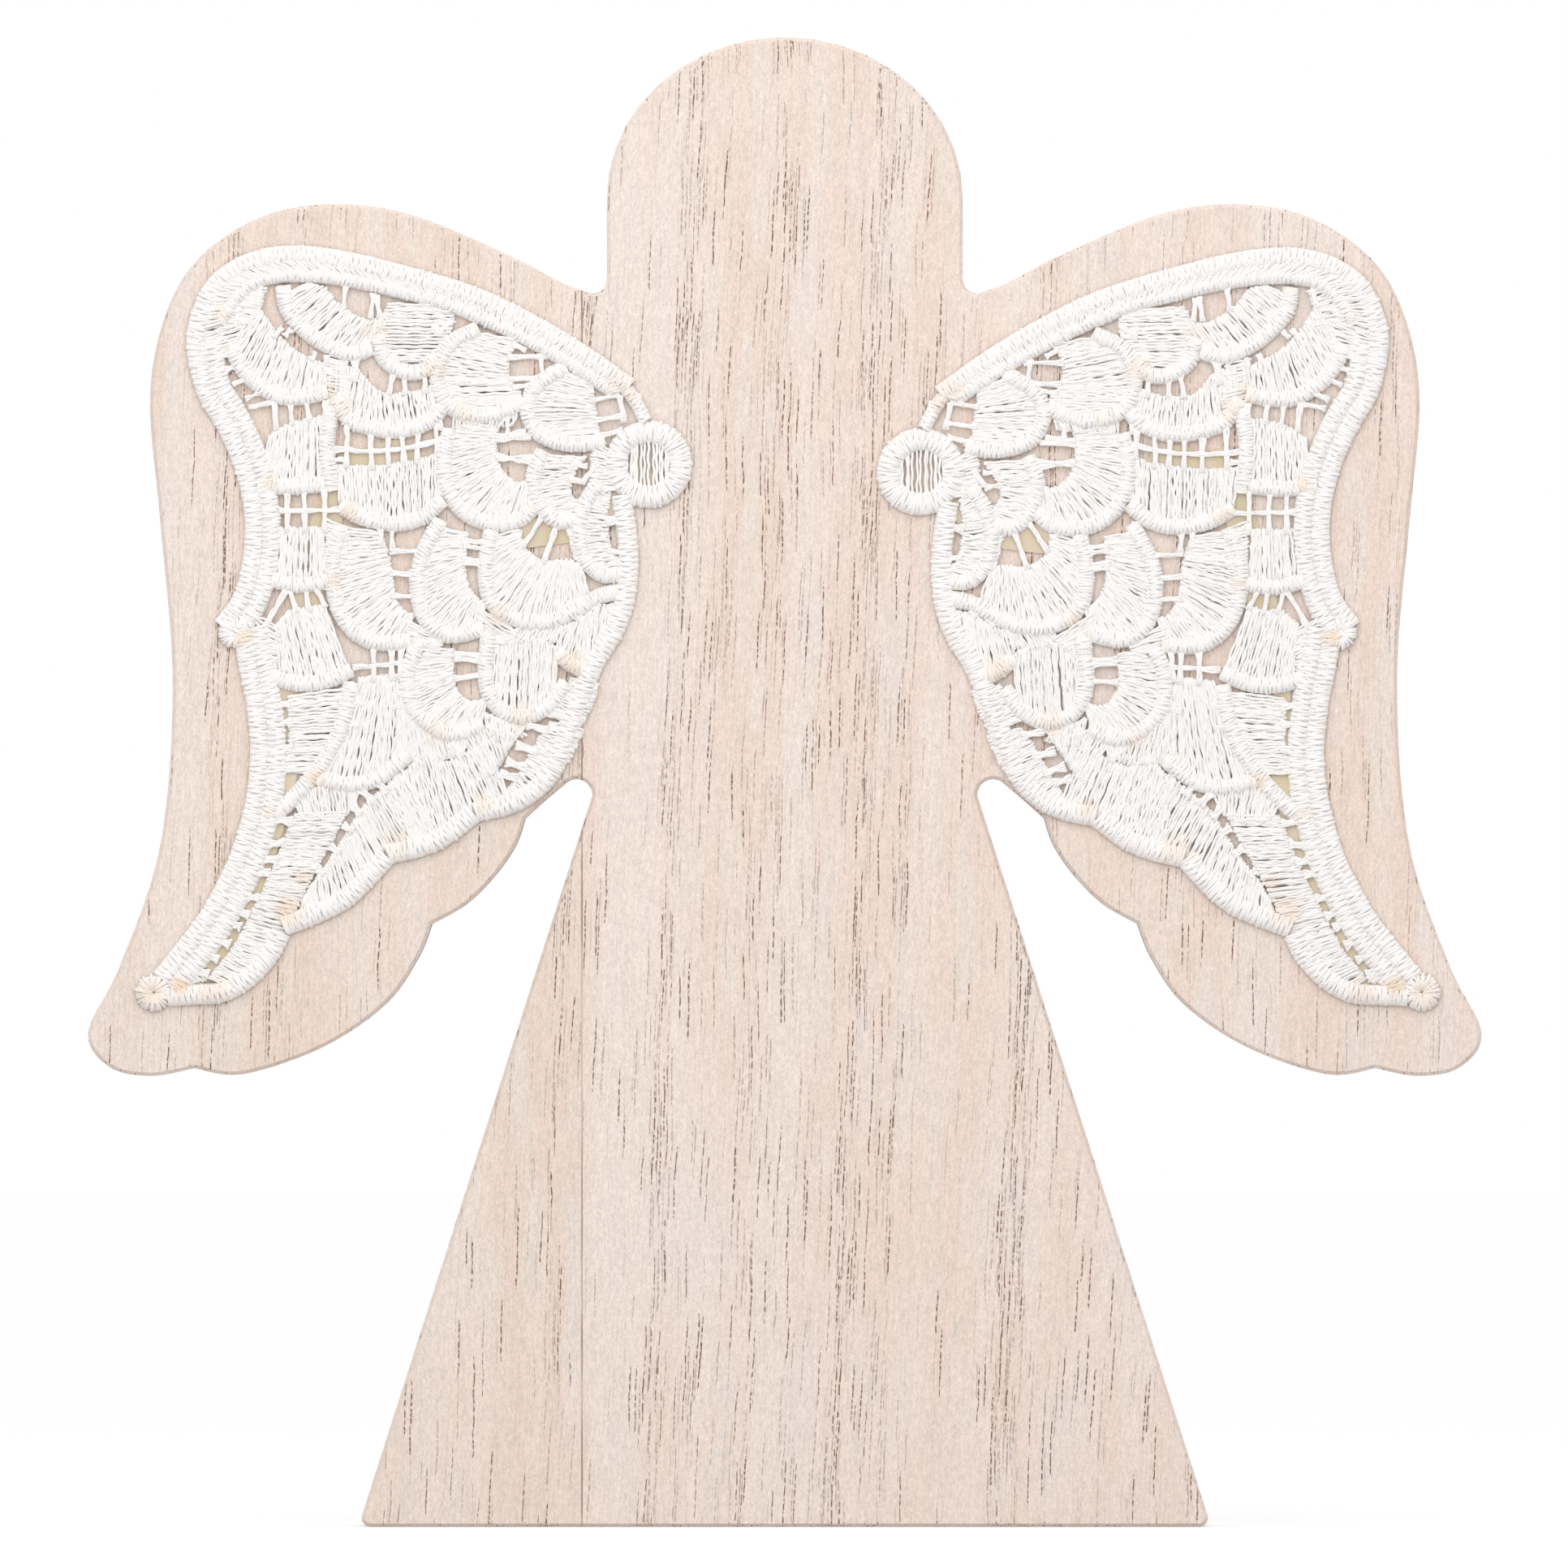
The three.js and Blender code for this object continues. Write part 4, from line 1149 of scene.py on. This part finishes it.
@dataclass
class LaceWing:
    """One embroidered applique, stitched thread by thread on its chart, with its sizes in millimetres.

    Drop, spread and lift say how it lies: how far it sits down, how much wider it is and how it turns up.
    """

    side: Side
    seed: int
    drop: float = 0.0
    spread: float = 1.0
    lift: float = 0.0
    ring_reach: float = 11.75
    middle: float = 22.0
    column: float = 0.69733
    row: float = 0.70021
    top: float = 110.5
    back: float = 7.7
    flat_size: Spot = (48.5, 66.5)
    ground_base: float = 0.06
    ground_share: float = 0.46
    ground_step: float = 0.8
    padding: float = 0.95
    stitch_base: float = 0.12
    stitch_lift: Range = (-0.07, 0.05)
    stitch_size: Range = (0.92, 1.06)
    stitch_jitter: float = 0.22
    end_dip: float = 0.25
    end_wander: float = 0.05
    lean_kept: float = 0.6
    lean_wander: float = 0.07
    band_overlap: float = 0.35
    cord_width: float = 1.6
    inner_cord_width: float = 1.5
    cord_end: float = 0.45
    cord_taper: float = 1.2
    ring_radius: float = 2.8
    ring_width: float = 2.15
    ring_height: float = 0.25
    tip_radius: float = 0.85
    tip_width: float = 1.7
    knob_radius: float = 0.75
    knob_width: float = 1.5
    circle_spots: int = 16
    fill_pitch: float = 0.135
    fill_height: float = 0.2
    fill_size: Range = (0.85, 1.1)
    fill_step: float = 0.45
    groove_height: float = 0.45
    layer_step: float = 0.08
    start_jitter: float = 0.4
    end_jitter: float = 0.9
    level_jitter: float = 0.06
    overshoot: float = 0.25
    slack: float = 0.06
    wave_length: float = 1.7
    wave_height: float = 0.05
    wave_sway: float = 0.045
    sway_phase: float = 2.3
    sway_wander: float = 0.02
    bar_step: float = 0.7
    bar_waist: float = 0.5
    bar_sway: float = 0.05
    bar_jitter: float = 0.05

    def __post_init__(self) -> None:
        """Seeds the unevenness of the stitches and places the tie-ins."""
        self.chance = random.Random(self.seed)
        self.name = self.side.name.lower()
        self.threads = Threads()
        self.ground_points: list[Vector] = []
        self.ground_faces: list[tuple[int, ...]] = []
        self.tie_ins = [
            (self.on_chart((column, row)), reach * self.column, strength)
            for column, row, reach, strength in TIE_INS
        ]

    def on_chart(self, spot: Spot) -> Vector:
        """A chart spot in millimetres from the chart's corner."""
        return Vector((spot[0] * self.column, spot[1] * self.row))

    def course(self, line: Line) -> Course:
        """A smooth line through chart spots."""
        return Course([self.on_chart(spot) for spot in line])

    def place(self, spot: Vector, height: float) -> Vector:
        """A point of the lace in the angel's frame.

        Args:
            spot: Millimetres outwards and down from the chart's corner.
            height: Millimetres in front of the lace's back.

        Returns:
            The point in metres.
        """
        across = self.side.value * (self.ring_reach + self.spread * spot.x)
        up = self.top - self.drop - spot.y + self.lift * (spot.x - self.middle)
        return Vector((across, -(self.back + height), up)) * MM

    def tint(self, spot: Vector) -> float:
        """How much a tie-in colours the thread at a spot.

        Args:
            spot: Millimetres on the chart.

        Returns:
            The share, from 0 to 1.
        """
        best = 0.0
        for tie_in, reach, strength in self.tie_ins:
            gap = (spot - tie_in).length / reach
            best = max(best, strength * (1 - gap ** 2))
        return best

    def satin(self, line: Course, kind: StitchKind, width: float, widening: float = 0.0) -> None:
        """Lays satin stitches side by side across a line, with a padded ground under them.

        Args:
            line: The middle of the stitched line.
            kind: How the stitches are laid.
            width: Width at the start in millimetres.
            widening: How much wider the end is.
        """
        stitch = kind.value
        self._ground(line, stitch, width, widening)
        count = max(2, round(line.length / stitch.pitch))
        lean = 0.0
        for i in range(count):
            way = 1 if i % 2 else -1
            jitter = self.chance.uniform(-self.stitch_jitter, self.stitch_jitter)
            distance = (i + 0.5 + jitter) * line.length / count
            middle, along, across = line.at(distance)
            ease = self._cord_ease(distance, line.length) if kind is StitchKind.CORD else 1.0
            half = (0.5 * (width + widening * i / count) - stitch.radius) * ease
            low = self.chance.gauss(0, self.end_wander) - way * stitch.stagger
            high = self.chance.gauss(0, self.end_wander) + way * stitch.stagger
            lean = self.lean_kept * lean + self.chance.gauss(0, self.lean_wander)
            skew = way * stitch.pitch * stitch.zigzag + lean
            crown = (stitch.crown + self.chance.uniform(*self.stitch_lift)) * ease
            path, tints = [], []
            for share in STITCH_SHARES:
                reach = share * half + (high if share > 0 else low) * abs(share)
                rise = crown * stitch.arch(share) if abs(share) < 1 else stitch.radius - self.end_dip
                spot = middle + across * reach + along * (skew * share)
                path.append(self.place(spot, self.stitch_base + rise))
                tints.append(self.tint(spot))
            self.threads.strand(path, stitch.radius * MM * self.chance.uniform(*self.stitch_size), tints)

    def _cord_ease(self, distance: float, length: float) -> float:
        """How full a cord of some length is at a distance from its start."""
        return min(1.0, self.cord_end + min(distance, length - distance) / self.cord_taper)

    def _ground(self, line: Course, stitch: Stitch, width: float, widening: float) -> None:
        """Adds a narrow strip of padded ground under a stitched line.

        Args:
            line: The middle of the stitched line.
            stitch: How the stitches over it are laid.
            width: Width of the stitches at the start in millimetres.
            widening: How much wider the end is.
        """
        rise = stitch.crown * self.padding
        steps = max(2, round(line.length / self.ground_step))
        first = len(self.ground_points)
        for i in range(steps + 1):
            middle, _, across = line.at(line.length * i / steps)
            reach = self.ground_share * (width + widening * i / steps)
            for share in GROUND_SHARES:
                spot = middle + across * (reach * share)
                self.ground_points.append(self.place(spot, self.ground_base + rise * stitch.arch(share)))
        row = len(GROUND_SHARES)
        for i in range(steps):
            for k in range(row - 1):
                here = first + i * row + k
                self.ground_faces.append((here, here + 1, here + row + 1, here + row))

    def border(self) -> None:
        """Stitches the rim, the ring at the inner end, the knob and the tip."""
        for satin in BORDER_LINES:
            line = self.course(satin.line)
            if satin.kind is StitchKind.BAND:
                width = 0.5 * satin.width + self.band_overlap
                for offset in (-0.25 * satin.width, 0.25 * satin.width):
                    self.satin(line.beside(offset), satin.kind, width, 0.5 * satin.widening)
            else:
                self.satin(line, satin.kind, satin.width, satin.widening)
        for spot, radius, width, kind in (
            (RING_CENTRE, self.ring_radius, self.ring_width, StitchKind.BORDER),
            (TIP_CENTRE, self.tip_radius, self.tip_width, StitchKind.KNOB),
            (KNOB_CENTRE, self.knob_radius, self.knob_width, StitchKind.KNOB),
        ):
            centre = self.on_chart(spot)
            turns = [2 * math.pi * i / self.circle_spots for i in range(self.circle_spots)]
            circle = [centre + radius * Vector((math.cos(turn), math.sin(turn))) for turn in turns]
            self.satin(Course(circle, closed=True), kind, width)

    def cords(self) -> None:
        """Stitches the raised cords that edge the cells."""
        self.satin(self.course(INNER_TOP_CORD), StitchKind.CORD, self.inner_cord_width)
        for line in CELL_CORDS:
            self.satin(self.course(line), StitchKind.CORD, self.cord_width)

    def cells(self) -> None:
        """Stretches the threads of the cells."""
        for first, second in CELLS.values():
            self._stretch(first, second, self.fill_height)

    def feathers(self) -> None:
        """Stretches the threads of the feathers and the valleys."""
        for first, second in FEATHERS.values():
            self._stretch(first, second, self.fill_height)

    def bars(self) -> None:
        """Adds the groove in the top border, the cells' rails, the ring's threads, the bars and the ties."""
        self._stretch(TOP_BORDER[:-1], INNER_TOP_CORD, self.groove_height)
        for rails in (*CELLS.values(), *FEATHERS.values()):
            for rail in rails:
                self._bar(rail, BarKind.RAIL)
        centre = self.on_chart(RING_CENTRE)
        for share in RING_THREADS:
            reach = math.sqrt(1 - share ** 2)
            start, end = (centre + self.ring_radius * Vector((share, way * reach)) for way in (-1, 1))
            self._thread_between(start, end, self.ring_height)
        for bar in BARS:
            self._bar(bar, BarKind.BAR)
        for tie in TIES:
            self._bar(tie, BarKind.TIE)

    def _stretch(self, first: Line, second: Line, height: float) -> None:
        """Stretches threads between two rails in two loose layers.

        Args:
            first: One rail on the chart.
            second: The other rail.
            height: Millimetres in front of the lace's back.
        """
        low, high = self.course(first), self.course(second)
        count = max(3, round(max(low.length, high.length) / self.fill_pitch))
        for i in range(count):
            start = (i + 0.5 + self.chance.uniform(-self.start_jitter, self.start_jitter)) / count
            end = (i + 0.5 + self.chance.uniform(-self.end_jitter, self.end_jitter)) / count
            layer = 0.0 if i % 2 else self.layer_step
            self._thread_between(low.at(start * low.length)[0], high.at(end * high.length)[0], height + layer)

    def _thread_between(self, start: Vector, end: Vector, height: float) -> None:
        """Adds one thread with a little slack between two spots.

        Args:
            start: One end on the chart, in millimetres.
            end: The other end.
            height: Millimetres in front of the lace's back.
        """
        span = end - start
        across = Vector((-span.y, span.x)).normalized()
        bow = self.chance.gauss(0, self.slack)
        level = height + self.chance.uniform(-self.level_jitter, self.level_jitter)
        phase = self.chance.uniform(0, 2 * math.pi)
        before, after = (self.chance.uniform(0, self.overshoot) / span.length for _ in range(2))
        steps = max(4, round(span.length / self.fill_step))
        path, tints = [], []
        for i in range(steps + 1):
            share = (1 + before + after) * i / steps - before
            turn = 2 * math.pi * share * span.length / self.wave_length
            sway = self.wave_sway * math.sin(turn + self.sway_phase * phase)
            sway += bow * math.sin(math.pi * share) + self.chance.gauss(0, self.sway_wander)
            spot = start + span * share + across * sway
            path.append(self.place(spot, level + self.wave_height * math.sin(turn + phase)))
            tints.append(self.tint(spot))
        self.threads.strand(path, FINE_THREAD * MM * self.chance.uniform(*self.fill_size), tints)

    def _bar(self, line: Line, kind: BarKind) -> None:
        """Adds a bar of a few strands, drawn together in its middle.

        Args:
            line: The middle of the bar on the chart.
            kind: How wide, thick and high it is.
        """
        bar = kind.value
        course = self.course(line)
        steps = max(4, round(course.length / self.bar_step))
        for k in range(bar.strands):
            offset = bar.reach * (2 * k / (bar.strands - 1) - 1)
            path = []
            for i in range(steps + 1):
                middle, _, across = course.at(course.length * i / steps)
                waist = 1 - self.bar_waist * math.sin(math.pi * i / steps)
                sway = offset * waist + self.chance.gauss(0, self.bar_sway)
                height = bar.height + self.chance.uniform(-self.bar_jitter, self.bar_jitter)
                path.append(self.place(middle + across * sway, height))
            self.threads.strand(path, FINE_THREAD * MM, [0.0] * len(path))

    def build(
        self, satin: bpy.types.Material, filling: bpy.types.Material, backing: bpy.types.Material,
    ) -> list[bpy.types.Object]:
        """Makes the pieces of the applique and puts them on the board.

        Args:
            satin: Finish of the border and the cords.
            filling: Finish of the cells' threads.
            backing: Finish of the ground.

        Returns:
            The pieces, with the ground first.
        """
        pieces = []
        for stitch, name, material in (
            (self.border, "border", satin), (self.cords, "cords", satin), (self.cells, "cells", filling),
            (self.feathers, "feathers", filling), (self.bars, "bars", filling),
        ):
            self.threads = Threads()
            stitch()
            pieces.append(self.threads.piece(f"{self.name}_lace_{name}", material))
        ground = new_object(f"{self.name}_lace_ground", self.ground_points, self.ground_faces, backing)
        for piece in (ground, *pieces):
            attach(piece, "root")
            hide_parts(f"{self.name}_lace_wing")
        return [ground, *pieces]


@dataclass
class Board:
    """The glued-up board: its staves, its glue lines and the adhesive on its front."""

    body: WoodFinish
    left: WoodFinish
    seam: GlueFinish
    film: GlueFinish

    def dress(self) -> list[bpy.types.Object]:
        """Gives each CAD solid of the board its finish.

        Returns:
            The dressed solids.
        """
        grain = BoardGrain()
        finishes = {
            self.body.material(grain): ("body_stave",),
            self.left.material(grain): ("left_wing_stave", "left_skirt_stave"),
            self.seam.material(): ("upper_glue_line", "lower_glue_line"),
            self.film.material(): ("left_lace_adhesive", "right_lace_adhesive"),
        }
        pieces = []
        for material, nodes in finishes.items():
            for node in nodes:
                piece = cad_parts[node]
                piece.data.materials.clear()
                piece.data.materials.append(material)
                pieces.append(piece)
        return pieces


@dataclass
class Studio:
    """Pale floor, soft light and the camera, with the view in millimetres and the rest in metres."""

    floor: FloorFinish
    picture: int = 1932
    pixel: float = 0.07
    centre: Spot = (-0.07, 64.085)
    board_front: float = 7.5
    distance: float = 5000.0
    sensor: float = 36.0
    view_depth: float = 20.0
    floor_reach: float = 4.0
    key_light: float = 0.615
    key_size: float = 0.4
    key_place: tuple[float, float, float] = (-0.04, -0.33, 0.26)
    world_light: float = 0.87

    def build(self) -> None:
        """Makes the floor, the lamp, the world and the camera."""
        self._floor()
        self._world()
        self._key()
        self._camera()
        bpy.context.scene.view_settings.view_transform = "Standard"

    def _floor(self) -> None:
        """Lays a pale floor that keeps the angel's shadow."""
        reach = self.floor_reach
        corners = [(-reach, -reach, 0), (reach, -reach, 0), (reach, reach, 0), (-reach, reach, 0)]
        new_object("floor", corners, [(0, 1, 2, 3)], self.floor.material())

    def _world(self) -> None:
        """Sets an even light all round that shows as white."""
        world = bpy.data.worlds.new("studio")
        bpy.context.scene.world = world
        world.use_nodes = True
        graph = Graph(world.node_tree)
        sky = world.node_tree.nodes["Background"].inputs
        graph.feed_all(sky, {"Color": (1.0, 1.0, 1.0), "Strength": graph.seen(self.world_light, 1.0)})

    def _key(self) -> None:
        """Adds one broad, soft lamp from the upper left."""
        light = bpy.data.lights.new("key", "AREA")
        light.energy = self.key_light
        light.size = self.key_size
        lamp = bpy.data.objects.new("key", light)
        lamp.location = self.key_place
        aim = Vector((0, 0, self.centre[1] * MM)) - lamp.location
        lamp.rotation_euler = aim.to_track_quat("-Z", "Y").to_euler()
        lamp.visible_camera = False
        bpy.context.scene.collection.objects.link(lamp)

    def _camera(self) -> None:
        """Sets the camera square to the front, with the photograph's frame."""
        data = bpy.data.cameras.new("camera")
        data.sensor_width = self.sensor
        data.lens = self.sensor * self.distance / (self.picture * self.pixel)
        data.clip_end = self.view_depth
        camera = bpy.data.objects.new("camera", data)
        across, up = self.centre
        camera.location = Vector((across, -self.board_front - self.distance, up)) * MM
        camera.rotation_euler = (math.pi / 2, 0, 0)
        bpy.context.scene.collection.objects.link(camera)
        bpy.context.scene.camera = camera


def main() -> None:
    """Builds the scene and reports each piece."""
    Studio(FloorFinish("pale floor", colour=(0.6, 0.6, 0.6), lift=0.47)).build()
    # The edge colours are painted shade on the board's edges
    pieces = Board(
        body=WoodFinish(
            "body wood", wash=linear(240, 225, 215), heart=linear(237, 217, 204), chalk=linear(237, 225, 218),
            pore=linear(108, 66, 42), edge=linear(170, 162, 160), pore_share=1.3,
        ),
        left=WoodFinish(
            "left wood", wash=linear(239, 223, 212), heart=linear(234, 215, 201), chalk=linear(236, 224, 216),
            pore=linear(112, 70, 46), edge=linear(165, 156, 154), pore_share=1.2,
        ),
        seam=GlueFinish(
            "seam glue", film=linear(165, 142, 129), dust=linear(216, 198, 187), roughness=0.7, fineness=500,
        ),
        film=GlueFinish(
            "lace adhesive", film=linear(216, 200, 168), dust=linear(222, 206, 184),
            roughness=0.3, fineness=700,
        ),
    ).dress()
    ply = ThreadPly()
    satin = ThreadFinish("satin thread", linear(255, 252, 251), tie_in=linear(247, 224, 200), twist=3.4)
    filling = ThreadFinish("fill thread", linear(255, 252, 250), tie_in=linear(247, 225, 202), twist=3.8)
    backing = GlueFinish(
        "lace ground", film=linear(253, 250, 246), dust=linear(240, 233, 224), roughness=0.85, fineness=1800,
    )
    finishes = satin.material(ply), filling.material(ply), backing.material()
    pieces += LaceWing(Side.LEFT, seed=11).build(*finishes)
    pieces += LaceWing(Side.RIGHT, seed=23, drop=0.3, spread=1.012, lift=0.016).build(*finishes)
    for piece in pieces:
        log.info("%s: %s, %d faces", piece.name, piece.active_material.name, len(piece.data.polygons))


if __name__ == "__main__":
    main()
